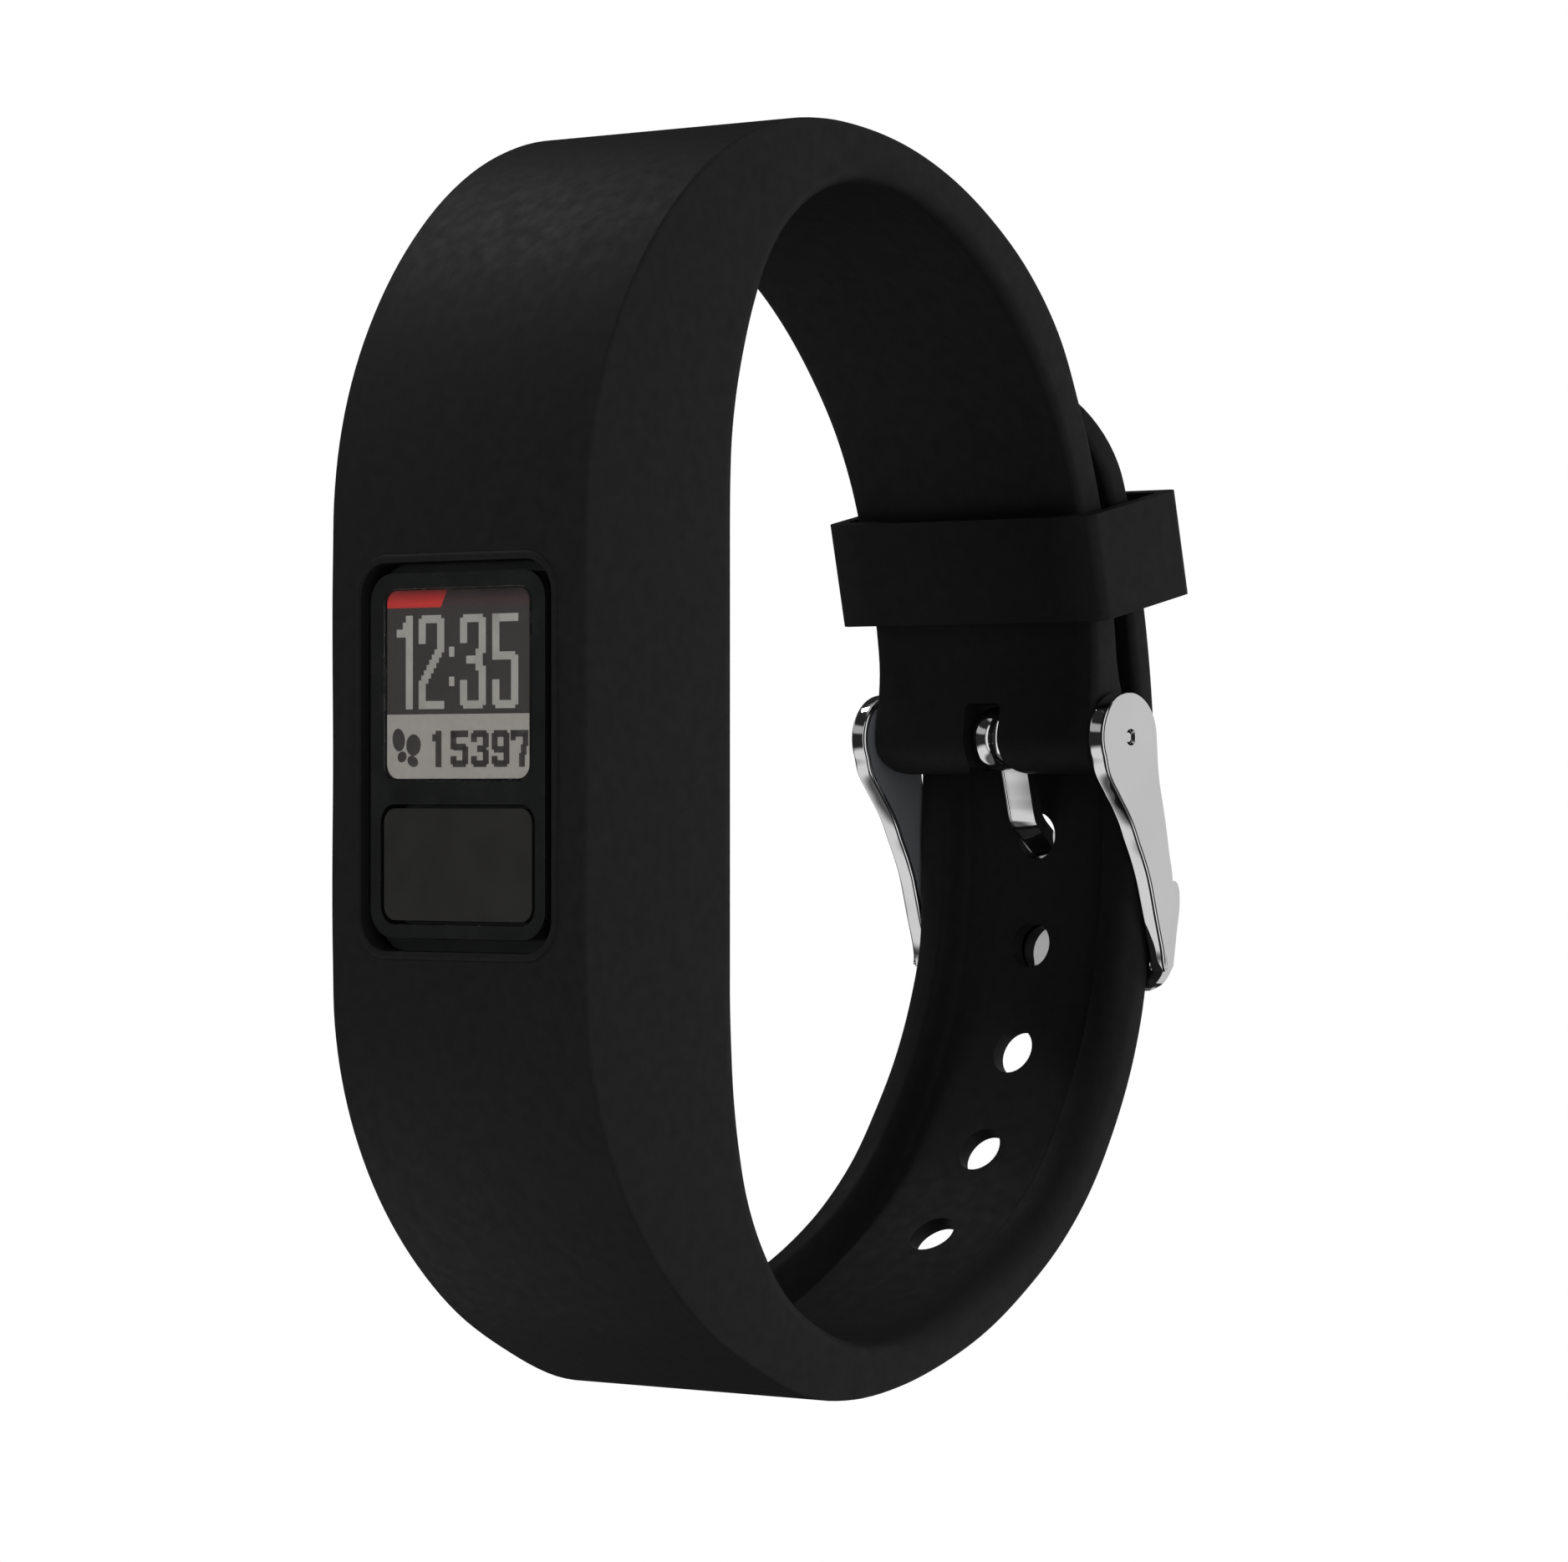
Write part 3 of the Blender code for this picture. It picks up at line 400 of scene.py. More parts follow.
def hermite(start, end, slope_start, slope_end, low, high, s):
    """The cubic between two values with those slopes, read at s between low and high."""
    span = high - low
    t = (s - low) / span
    return (
        (2 * t**3 - 3 * t**2 + 1) * start + (t**3 - 2 * t**2 + t) * slope_start * span
        + (3 * t**2 - 2 * t**3) * end + (t**3 - t**2) * slope_end * span
    )


def turned(name, profile, material, location, rotation, steps=48, ring=False):
    """A turned solid about local Z from (radius, height) pairs that run down its outer side."""
    mesh = bpy.data.meshes.new(name)
    points = [(radius * MM, 0, height * MM) for radius, height in profile]
    edges = [(k, k + 1) for k in range(len(points) - 1)]
    if ring:
        edges.append((len(points) - 1, 0))
    mesh.from_pydata(points, edges, [])
    thing = link(name, mesh, None)
    screw = thing.modifiers.new("turn", "SCREW")
    screw.steps = screw.render_steps = steps
    screw.use_merge_vertices = True
    screw.merge_threshold = 1e-6
    return link(name, flatten(thing), material, location, rotation)


def rod(name, radius, length, location, rotation):
    """A round bar along local Z, for cutting with."""
    work = bmesh.new()
    bmesh.ops.create_cone(
        work, cap_ends=True, segments=40, radius1=radius * MM, radius2=radius * MM, depth=length * MM
    )
    return link(name, mesh_of(name, work), None, location, rotation)


def lofted(name, sections):
    """A closed mesh through rings of points in millimetres, each with as many points as the next."""
    work = bmesh.new()
    rings = [
        [work.verts.new([value * MM for value in point]) for point in section] for section in sections
    ]
    count = len(rings[0])
    for ring, following in zip(rings, rings[1:]):
        for k in range(count):
            n = (k + 1) % count
            work.faces.new((ring[k], ring[n], following[n], following[k]))
    work.faces.new(rings[0])
    work.faces.new(rings[-1])
    bmesh.ops.recalc_face_normals(work, faces=work.faces)
    if work.calc_volume(signed=True) < 0:
        bmesh.ops.reverse_faces(work, faces=work.faces)
    return mesh_of(name, work)


def apply_cuts(thing, cutters, operation="DIFFERENCE"):
    """Applies Booleans with throwaway cutters, and returns the object that replaces thing."""
    for cutter in cutters:
        modifier = thing.modifiers.new("cut", "BOOLEAN")
        modifier.operation = operation
        modifier.object = cutter
        modifier.solver = "EXACT"
    name, place = thing.name, thing.matrix_world.copy()
    materials = list(thing.data.materials)
    mesh = flatten(thing)
    for cutter in cutters:
        bpy.data.objects.remove(cutter, do_unlink=True)
    finishes = np.empty(len(mesh.polygons), np.int32)
    mesh.polygons.foreach_get("material_index", finishes)
    mesh.materials.clear()
    for material in materials:
        mesh.materials.append(material)
    mesh.polygons.foreach_set("material_index", np.minimum(finishes, max(len(materials) - 1, 0)))
    made = link(name, mesh, None)
    made.matrix_world = place
    return made


def bevel(thing, width, segments=3, angle=30):
    """Rounds the edges that are sharper than that angle, in degrees."""
    modifier = thing.modifiers.new("round edges", "BEVEL")
    modifier.width = width * MM
    modifier.segments = segments
    modifier.limit_method = "ANGLE"
    modifier.angle_limit = math.radians(angle)
    modifier.harden_normals = False


def finish_piece(thing, body, nodes=(), smooth=35):
    """Smooths a piece up to that angle, rides it on its body and hides the CAD nodes it stands for."""
    if smooth:
        thing.data.shade_smooth()
        thing.data.set_sharp_from_angle(angle=math.radians(smooth))
    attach(thing, body)
    if nodes:
        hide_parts(*nodes)


# Materials -----------------------------------------------------------------------------------------


# How a bump's grain is stretched: not at all, or into finer lines one way.
EVEN = (1, 1, 1)
BRUSHED = (1, 1, 9)
WOVEN = (1, 1, 4)

# Nearly all of a noise texture's values lie between these.
NOISE_LOW = 0.3
NOISE_HIGH = 0.7

# How brightly the display's inks show by themselves, a painted glow, and what is left of an ink in the
# painted bezel shadow.
INK_GLOW = 0.65
INK_IN_BEZEL_SHADOW = 0.06


class Shader:
    """A Principled material with a short way to add noise to its colour, roughness and bump."""

    def __init__(self, name, colour, roughness, metallic=0.0):
        self.material = bpy.data.materials.new(name)
        self.material.use_nodes = True
        self.tree = self.material.node_tree
        self.shader = self.tree.nodes["Principled BSDF"]
        self.colour = colour
        self.set("Base Color", (*colour, 1.0))
        self.set("Roughness", roughness)
        self.set("Metallic", metallic)
        self.place = self.tree.nodes.new("ShaderNodeTexCoord").outputs["Object"]

    def set(self, socket, value):
        self.shader.inputs[socket].default_value = value

    def noise(self, grain, detail=4.0, stretch=EVEN):
        """A noise output whose grain is about that many millimetres."""
        mapping = self.tree.nodes.new("ShaderNodeMapping")
        mapping.inputs["Scale"].default_value = stretch
        texture = self.tree.nodes.new("ShaderNodeTexNoise")
        texture.inputs["Scale"].default_value = 1 / (grain * MM)
        texture.inputs["Detail"].default_value = detail
        self.tree.links.new(self.place, mapping.inputs["Vector"])
        self.tree.links.new(mapping.outputs["Vector"], texture.inputs["Vector"])
        return texture.outputs["Fac"]

    def span(self, source, low, high, to_low, to_high):
        """The source's range low to high, mapped to another range."""
        node = self.tree.nodes.new("ShaderNodeMapRange")
        ends = {"From Min": low, "From Max": high, "To Min": to_low, "To Max": to_high}
        for socket, value in ends.items():
            node.inputs[socket].default_value = value
        self.tree.links.new(source, node.inputs["Value"])
        return node.outputs["Result"]

    def vary_roughness(self, grain, low, high):
        roughness = self.span(self.noise(grain), NOISE_LOW, NOISE_HIGH, low, high)
        self.tree.links.new(roughness, self.shader.inputs["Roughness"])

    def vary_colour(self, grain, amount, detail=4.0):
        """Mottles the base colour by plus and minus amount of itself."""
        ramp = self.tree.nodes.new("ShaderNodeValToRGB")
        for element, factor in zip(ramp.color_ramp.elements, (1 - amount, 1 + amount)):
            element.color = (*[channel * factor for channel in self.colour], 1.0)
        ramp.color_ramp.elements[0].position = NOISE_LOW
        ramp.color_ramp.elements[1].position = NOISE_HIGH
        self.tree.links.new(self.noise(grain, detail), ramp.inputs["Fac"])
        self.tree.links.new(ramp.outputs["Color"], self.shader.inputs["Base Color"])

    def bump(self, layers):
        """Adds bumps: (grain in mm, height in mm, stretch) layers, chained."""
        normal = None
        for grain, height, stretch in layers:
            node = self.tree.nodes.new("ShaderNodeBump")
            node.inputs["Strength"].default_value = 1.0
            node.inputs["Distance"].default_value = height * MM
            self.tree.links.new(self.noise(grain, stretch=stretch), node.inputs["Height"])
            if normal is not None:
                self.tree.links.new(normal, node.inputs["Normal"])
            normal = node.outputs["Normal"]
        self.tree.links.new(normal, self.shader.inputs["Normal"])


def silicone():
    """Matt black silicone with a fine moulded skin."""
    made = Shader("silicone_black_skin", (0.0115, 0.0115, 0.0115), 0.6)
    made.set("Specular IOR Level", 0.14)
    made.vary_colour(0.7, 0.12)
    made.vary_roughness(0.9, 0.56, 0.66)
    made.bump([(0.13, 0.0016, EVEN), (0.5, 0.0015, EVEN)])
    return made.material


def steel(name, tint, low, high, scratch=0.0001):
    """Bare metal whose roughness varies from low to high, with fine scratches one way."""
    made = Shader(name, tint, 0.1, 1.0)
    made.vary_colour(5.0, 0.03)
    made.vary_roughness(1.2, low, high)
    made.bump([(0.35, scratch, BRUSHED)])
    return made.material


def satin():
    """Blasted steel: partly a plain grey, so that it also shows in its own shade."""
    made = Shader("steel_satin", (0.5, 0.52, 0.56), 0.5, 0.5)
    made.vary_roughness(1.2, 0.42, 0.52)
    made.bump([(0.2, 0.0004, EVEN)])
    return made.material


def plastic(name, tint, roughness, grain=0.1, height=0.0015):
    """Moulded plastic or rubber with a fine grain of that height."""
    made = Shader(name, tint, roughness)
    made.vary_colour(3.0, 0.12)
    made.vary_roughness(1.4, roughness - 0.04, roughness + 0.06)
    made.bump([(grain, height, EVEN)])
    return made.material


def glass():
    """Clear cover glass, barely uneven."""
    made = Shader("cover_glass", (1.0, 1.0, 1.0), 0.03)
    made.set("Transmission Weight", 1.0)
    made.set("IOR", 1.45)
    made.vary_roughness(4.0, 0.02, 0.05)
    made.bump([(8.0, 0.002, EVEN)])
    return made.material


def painted_glow_ink(name, tint, bezel_shadow=None):
    """A reflective liquid-crystal colour with a painted glow: it shows at its own brightness, with a fine
    cell grain.

    A bezel shadow is two heights between which the colour falls off towards the top to the dark ground: a
    painted shadow of the bezel.
    """
    made = Shader(name, tint, 0.5)
    made.vary_colour(0.4, 0.06)
    # Painted glow: the reflective display is no lamp, but its inks emit light.
    made.set("Emission Color", (*tint, 1.0))
    made.set("Emission Strength", INK_GLOW)
    # Painted shadow of the bezel: the colour darkens towards the top.
    if bezel_shadow:
        split = made.tree.nodes.new("ShaderNodeSeparateXYZ")
        made.tree.links.new(made.place, split.inputs[0])
        share = made.span(split.outputs["Y"], bezel_shadow[0] * MM, bezel_shadow[1] * MM, 0.0, 1.0)
        ramp = made.tree.nodes.new("ShaderNodeValToRGB")
        for element, factor in zip(ramp.color_ramp.elements, (1.0, INK_IN_BEZEL_SHADOW)):
            element.color = (*[channel * factor for channel in tint], 1.0)
        made.tree.links.new(share, ramp.inputs["Fac"])
        for socket in ("Base Color", "Emission Color"):
            made.tree.links.new(ramp.outputs["Color"], made.shader.inputs[socket])
    made.bump([(0.16, 0.001, EVEN)])
    return made.material


def board():
    """Green solder mask over a woven board."""
    made = Shader("board_solder_mask", (0.012, 0.09, 0.035), 0.4)
    made.vary_colour(0.9, 0.35, detail=1.0)
    made.bump([(0.8, 0.01, WOVEN)])
    return made.material


MATERIALS = {
    "silicone_black": silicone(),
    "case_black": plastic("case_black_moulded", (0.0115, 0.012, 0.012), 0.24),
    "button_black": plastic("button_black_moulded", (0.019, 0.0185, 0.0165), 0.42),
    "polished_steel": steel("steel_polished", (0.87, 0.87, 0.88), 0.03, 0.07),
    "satin_steel": satin(),
    "spring_steel": steel("steel_drawn", (0.5, 0.5, 0.52), 0.22, 0.35, 0.002),
    "lens_clear": glass(),
    "display_grey": plastic("display_stack", (0.14, 0.135, 0.125), 0.3),
    "backplate_white": plastic("backplate_white_moulded", (0.75, 0.75, 0.73), 0.5),
    "polyimide": plastic("ribbon_polyimide", (0.45, 0.2, 0.03), 0.35),
    "board_green": board(),
    "chip_black": plastic("chip_epoxy", (0.018, 0.018, 0.02), 0.5, 0.06, 0.002),
    "gold_plate": steel("contact_gold", (0.85, 0.62, 0.25), 0.2, 0.3),
    "cell_steel": steel("cell_can_nickel", (0.68, 0.68, 0.66), 0.2, 0.34, 0.002),
    "seal_red": plastic("seal_rubber_red", (0.25, 0.02, 0.02), 0.6),
    "tray_grey": plastic("tray_grey_moulded", (0.13, 0.13, 0.14), 0.55),
}
SCREEN_INKS = {
    "ground": painted_glow_ink("screen_ground", (0.028, 0.026, 0.023)),
    "light": painted_glow_ink("screen_light", (0.235, 0.225, 0.205)),
    "digits": painted_glow_ink("screen_digits", (0.25, 0.245, 0.225)),
    "dark": painted_glow_ink("screen_dark", (0.03, 0.028, 0.025)),
    # The red and maroon bars darken towards their top: a painted shadow of the bezel.
    "red": painted_glow_ink("screen_red", (0.36, 0.02, 0.017), (8.55, 9.4)),
    "maroon": painted_glow_ink("screen_maroon", (0.038, 0.022, 0.021), (8.5, 9.4)),
}


# Strap ---------------------------------------------------------------------------------------------


class StrapPath:
    """The strap's side view as a smooth curve through STRAP_STATIONS.

    What it gives at a distance along it is a row like theirs.
    """

    def __init__(self):
        self.rows = np.array(STRAP_STATIONS, float)
        middle = (self.rows[:, 0:2] + self.rows[:, 2:4]) / 2
        self.along = distances(middle)
        self.slopes = np.gradient(self.rows, self.along, axis=0)
        self.length = self.along[-1]

    def at(self, s):
        return read_curve(self.rows, self.slopes, self.along, s)

    def distance_of_z(self, height):
        """How far along the lower strap's outside rises to that height, past the loop's bottom."""
        places = np.arange(self.length * 0.7, self.length, 0.05)
        return next(s for s in places if self.at(s)[1] >= height)


def strap_stations(path):
    """The barrel end, the strap at an even spacing, and a tail that narrows to a round end."""
    stations = []
    for angle, half_width in BARREL_HALF_WIDTHS:
        reach = BARREL_RADIUS * math.cos(math.radians(angle))
        height = PIN_Z + BARREL_RADIUS * math.sin(math.radians(angle))
        edge = min(BARREL_EDGE, 0.4 * reach)
        stations.append((PIN_Y + reach, height, PIN_Y - reach, height, half_width, edge, edge, 0.0))
    taper_start = path.length - TAIL_ROUNDING
    body = list(np.linspace(0, taper_start, round(taper_start / STATION_SPACING)))
    taper = [
        path.length - TAIL_ROUNDING * (1 - math.sin(math.pi / 2 * k / TAIL_STEPS))
        for k in range(1, TAIL_STEPS + 1)
    ]
    for s in body + taper:
        values = path.at(s)
        left = (path.length - s) / TAIL_ROUNDING
        if left < 1:
            values[4] *= math.sqrt(max(1 - (1 - left) ** 2, TAIL_TIP))
            values[5:7] *= TAIL_LEAST_EDGE + (1 - TAIL_LEAST_EDGE) * left
        stations.append(tuple(values))
    return stations


def strap_section(station, edge_steps=10, ridge_steps=3, slope_steps=8):
    """The closed outline of the strap across one station, in millimetres.

    Its roundings shrink where the strap is too thin or too narrow for them.
    """
    outer, inner = np.array(station[0:2]), np.array(station[2:4])
    half_width, edge, rail, channel = station[4:8]
    thickness = float(np.linalg.norm(outer - inner))
    outward = (outer - inner) / thickness
    edge = min(edge, thickness * 0.65)
    rail = min(rail, half_width * 0.25)
    ridge = min(OUTER_EDGE, thickness * 0.2, half_width * 0.3)
    half = [(0.0, thickness)]
    half += arc((half_width - ridge, thickness - ridge), ridge, 90, 0, ridge_steps)
    centre = half_width - rail
    half += [(centre + rail * x, edge + edge * z) for x, z in arc((0, 0), 1, 0, -90, edge_steps)]
    for step in range(slope_steps + 1):
        share = RAIL_FOOT + (CHANNEL_EDGE - RAIL_FOOT) * step / slope_steps
        depth = max(channel, 0) * (1 - math.cos(math.pi * step / slope_steps)) / 2
        half.append((half_width * share, depth))
    outline = half + [(-x, height) for x, height in reversed(half[1:])]
    return [(x, *(inner + outward * height)) for x, height in outline]


def hole_cutters(path):
    """Round bars square to the strap at each adjustment hole."""
    start = path.distance_of_z(TONGUE_HOLE_Z)
    made = []
    for k in range(-HOLES_BELOW_TONGUE, HOLES_ABOVE_TONGUE + 1):
        values = path.at(start + k * HOLE_PITCH)
        middle = (values[0:2] + values[2:4]) / 2
        outward = values[0:2] - values[2:4]
        tilt = math.atan2(outward[1], outward[0]) - math.pi / 2
        made.append(rod(f"hole_{k}", HOLE_RADIUS, HOLE_CUTTER_LENGTH, (0, *middle), (tilt, 0, 0)))
    return made


def window_bead():
    """A soft raised bead round the window, for joining to the strap's front."""
    curve = bpy.data.curves.new("window_bead", "CURVE")
    curve.dimensions = "3D"
    curve.bevel_depth = BEAD_RADIUS * MM
    curve.bevel_resolution = 6
    y = FRONT_Y + BEAD_RADIUS - BEAD_STANDS
    add_loop(curve, [(x, y, z) for x, z in rounded_box(*BEAD)])
    return link("window_bead", flatten(link("window_bead", curve, None)), None)


def slot_outline():
    """The tongue's slot: small corners at its top, and a mouth that flares at the barrel's underside."""
    side = SLOT_WIDTH / 2
    foot = PIN_Z - BARREL_RADIUS
    top = arc((side - SLOT_CORNER, SLOT_TOP_Z - SLOT_CORNER), SLOT_CORNER, 90, 0, 4)
    mouth = arc((side + SLOT_FLARE, foot + SLOT_FLARE), SLOT_FLARE, 180, 270, 10)
    half = [*top, *mouth, (side + SLOT_FLARE, foot - CUT_MARGIN)]
    return half + [(-x, z) for x, z in reversed(half)]


def make_strap():
    """The moulding, lofted along its path, with the bead joined on and the openings cut."""
    path = StrapPath()
    sections = [strap_section(station) for station in strap_stations(path)]
    strap = link("strap_moulding", lofted("strap_moulding", sections), MATERIALS["silicone_black"])
    strap = apply_cuts(strap, [window_bead()], "UNION")
    slot_depths = (
        PIN_Y - BARREL_RADIUS - CUT_MARGIN - FRONT_Y,
        PIN_Y + BARREL_RADIUS + SLOT_BEHIND_BARREL - FRONT_Y,
    )
    cutters = [
        plate("pocket", [centred_box(POCKET)], (LIP, HOUSING_INNER_Y - FRONT_Y + CUT_MARGIN)),
        plate("window", [rounded_box(*WINDOW)], (-CUT_MARGIN, LIP + CUT_MARGIN)),
        rod("bore", BARREL_BORE, BARREL_BORE_LENGTH, (0, PIN_Y, PIN_Z), (0, math.pi / 2, 0)),
        plate("slot", [slot_outline()], slot_depths),
    ]
    strap = apply_cuts(strap, cutters + hole_cutters(path))
    finish_piece(strap, "strap", ["band"])


def make_keeper():
    """The loop round both straps, tilted to lie along them."""
    half_x, half_y = KEEPER_INNER
    inner_corner, outer_corner = KEEPER_CORNERS
    inside = centred_box((half_x, half_y, inner_corner))
    outside = centred_box((half_x + KEEPER_WALL, half_y + KEEPER_WALL, outer_corner))
    mesh = slab_mesh("keeper_loop", [outside, inside], 2 * KEEPER_HALF_HEIGHT)
    place = (0, KEEPER_Y, KEEPER_Z)
    keeper = link("keeper_loop", mesh, MATERIALS["silicone_black"], place, (KEEPER_TILT, 0, 0))
    bevel(keeper, KEEPER_BEVEL)
    finish_piece(keeper, "keeper", ["keeper"])


# Buckle --------------------------------------------------------------------------------------------


def resampled(outline, spacing):
    """The same closed outline with its points evenly spaced."""
    points = np.array([*outline, outline[0]], float)
    along = distances(points)
    places = np.linspace(0, along[-1], round(along[-1] / spacing) + 1)[:-1]
    return np.stack([np.interp(places, along, points[:, axis]) for axis in (0, 1)], axis=1)


def rounded_slab(name, outline, low_x, high_x, radius, material, steps=6):
    """A slab seen from the side whose two flat faces run into its edge through a round of that radius."""
    edge = resampled(outline, OUTLINE_SPACING)
    along = np.roll(edge, -1, axis=0) - np.roll(edge, 1, axis=0)
    along /= np.linalg.norm(along, axis=1)[:, None]
    inward = np.stack([-along[:, 1], along[:, 0]], axis=1)
    profile = [
        (low_x + radius * (1 - math.cos(a)), radius * (1 - math.sin(a)))
        for a in np.linspace(0, math.pi / 2, steps + 1)
    ]
    profile += [(low_x + high_x - x, inset) for x, inset in reversed(profile)]
    sections = [[(x, y, z) for y, z in edge + inward * inset] for x, inset in profile]
    return link(name, lofted(name, sections), material)


def satin_inside(thing):
    """Gives the flat face nearest the loop's middle a satin finish."""
    thing.data.materials.append(MATERIALS["satin_steel"])
    flat = min(thing.data.polygons, key=lambda face: abs(face.center.x))
    flat.material_index = 1


def make_buckle():
    """Two polished arms with round heads, and the crossbar plate that joins their ends."""
    polished = MATERIALS["polished_steel"]
    pin = (PIN_Y, PIN_Z)
    head = arc(pin, HEAD_RADIUS, *HEAD_ARC, 60)
    below = smooth_line([head[-1], *ARM_INNER_EDGE], OUTLINE_STEP)[1:]
    back = smooth_line([*ARM_OUTER_EDGE, head[0]], OUTLINE_STEP)[:-1]
    outline = head + below + back
    arm_end = ARM_INNER_X + ARM_THICKNESS
    for side, low, high in (("right", ARM_INNER_X, arm_end), ("left", -arm_end, -ARM_INNER_X)):
        arm = rounded_slab(f"buckle_arm_{side}", outline, low, high, ARM_BEVEL, polished)
        satin_inside(arm)
        middle = ((low + high) / 2, PIN_Y, PIN_Z)
        bore = rod("bore", HEAD_HOLE, HEAD_HOLE_LENGTH, middle, (0, math.pi / 2, 0))
        arm = apply_cuts(arm, [bore])
        finish_piece(arm, "buckle", ["buckle_frame"], smooth=60)
    section = smooth_line([*CROSSBAR, CROSSBAR[0]], CROSSBAR_STEP)[:-1]
    end = CROSSBAR_END_X
    bar = rounded_slab("buckle_crossbar", section, -end, end, CROSSBAR_BEVEL, polished, 5)
    low = min(z for _, z in CROSSBAR)
    clear = CROSSBAR_CLEAR
    corners = rounded_box(end + clear, low - clear, 0, CROSSBAR_CORNER)
    trim = plate("trim", [corners], CROSSBAR_TRIM)
    bar = apply_cuts(bar, [trim], "INTERSECT")
    bevel(bar, CROSSBAR_END_BEVEL, angle=40)
    finish_piece(bar, "buckle")


def offset_line(line, distance):
    """The line moved to its left by a distance."""
    points = np.array(line, float)
    along = np.gradient(points, axis=0)
    along /= np.linalg.norm(along, axis=1)[:, None]
    left = np.stack([-along[:, 1], along[:, 0]], axis=1)
    return [tuple(point) for point in points + left * distance]


def make_tongue():
    """A rolled eye with a bulging outside, and a bent strip that rests on the crossbar."""
    polished = MATERIALS["polished_steel"]
    middle = smooth_line(TONGUE_LINE, TONGUE_STEP)
    half = TONGUE_THICKNESS / 2
    tip = middle[-1]
    heading = math.degrees(math.atan2(tip[1] - middle[-2][1], tip[0] - middle[-2][0]))
    end_cap = arc(tip, half, heading + 90, heading - 90, 8)[1:-1]
    outline = offset_line(middle, half) + end_cap + offset_line(middle, -half)[::-1]
    width = TONGUE_WIDTH / 2
    strip = rounded_slab("tongue_strip", outline, -width, width, TONGUE_BEVEL, polished, 4)
    finish_piece(strip, "tongue", ["buckle_tongue"], smooth=60)
    width = TONGUE_EYE_WIDTH / 2
    rim = TONGUE_EYE_RADIUS - EYE_BULGE
    profile = [
        (rim + EYE_BULGE * math.sin(math.radians(turn)) ** 0.8, width * math.cos(math.radians(turn)))
        for turn in range(180, -1, -9)
    ]
    profile += [(TONGUE_EYE_HOLE, width), (TONGUE_EYE_HOLE, -width)]
    eye = turned("tongue_eye", profile, polished, (0, PIN_Y, PIN_Z), (0, math.pi / 2, 0), ring=True)
    finish_piece(eye, "tongue")


# Tracker module ------------------------------------------------------------------------------------


def boss_places():
    """Where the four screws stand, as (x, z)."""
    x, z = BOSS_PLACE
    return ((x, z), (-x, z), (-x, -z), (x, -z))


def make_front_case():
    """The case with a raised, softly edged face and close openings for the glass and the button."""
    black = MATERIALS["case_black"]
    half_x, half_z, radius = CASE
    hollow = (half_x - CASE_WALL, half_z - CASE_WALL, radius)
    shell = plate("case_shell", [centred_box(CASE)], (CASE_FLANGE_DEPTH, CASE_END_DEPTH), black)
    through_floor = (0, CASE_FLOOR_DEPTH + CUT_MARGIN)
    cutters = [
        plate("hollow", [centred_box(hollow)], (CASE_FLOOR_DEPTH, CASE_END_DEPTH + CUT_MARGIN)),
        plate("panel_hole", [grown(LENS, -FLOOR_LEDGE)], through_floor),
        plate("button_hole", [grown(BUTTON, -FLOOR_LEDGE)], through_floor),
    ]
    shell = apply_cuts(shell, cutters)
    bevel(shell, SHELL_BEVEL)
    finish_piece(shell, "module", ["front_case"])
    outlines = [rounded_box(*FACE), grown(LENS, LENS_GAP), grown(BUTTON, BUTTON_GAP)]
    face = plate("case_face", outlines, (FACE_DEPTH, CASE_FLANGE_DEPTH + FACE_SEAT), black)
    bevel(face, FACE_BEVEL, 4)
    finish_piece(face, "module")


def make_lens():
    """Cover glass just below the face, over a black printed border."""
    lens = plate("cover_glass", [rounded_box(*LENS)], LENS_DEPTHS, MATERIALS["lens_clear"])
    bevel(lens, LENS_BEVEL, 2)
    finish_piece(lens, "module", ["display_lens"])
    half_x, low, high = SCREEN
    outlines = [grown(LENS, -BORDER_INSET), rounded_box(half_x, low, high, BORDER_CORNER)]
    border = plate("lens_border", outlines, BORDER_DEPTHS, MATERIALS["case_black"])
    finish_piece(border, "module")


def make_button():
    """The flat rounded cap below the display."""
    cap = plate("button_face", [rounded_box(*BUTTON)], BUTTON_DEPTHS, MATERIALS["button_black"])
    bevel(cap, BUTTON_BEVEL, 4)
    finish_piece(cap, "button", ["button_cap"])


def staircase(left, top, right, bottom, steps, thickness):
    """Blocks that step down from the top right to the bottom left."""
    blocks = []
    for k in range(steps):
        x = right - thickness - (right - left - thickness) * k / (steps - 1)
        y = top + (bottom - top) * k / steps
        blocks.append((x, y, x + thickness, y + (bottom - top) / steps + 0.6))
    return blocks


# Numerals on a grid of cells, as (left, top, right, bottom) blocks. The tall ones are 8 by 27 cells and
# the short ones 6 by 10.
TALL = {
    "1": [(3, 0, 5, 27), (2, 2, 3, 6), (0, 4, 2, 6)],
    "2": [
        (1, 0, 7, 2), (0, 1, 2, 8), (6, 1, 8, 9), (0, 20, 2, 27), (0, 25, 8, 27),
        *staircase(0, 8.5, 8, 20.5, 8, 2),
    ],
    "3": [
        (1, 0, 7, 2), (0, 1, 2, 8), (6, 1, 8, 11), (5, 10, 7, 13), (2, 12, 6, 14), (5, 13, 7, 16),
        (6, 15, 8, 26), (1, 25, 7, 27), (0, 19, 2, 26),
    ],
    "5": [(0, 0, 8, 2), (0, 0, 2, 13), (1, 11, 7, 13), (6, 12, 8, 26), (1, 25, 7, 27), (0, 19, 2, 26)],
    ":": [(0, 9.3, 1.4, 11.9), (0, 18, 1.4, 20.4)],
}
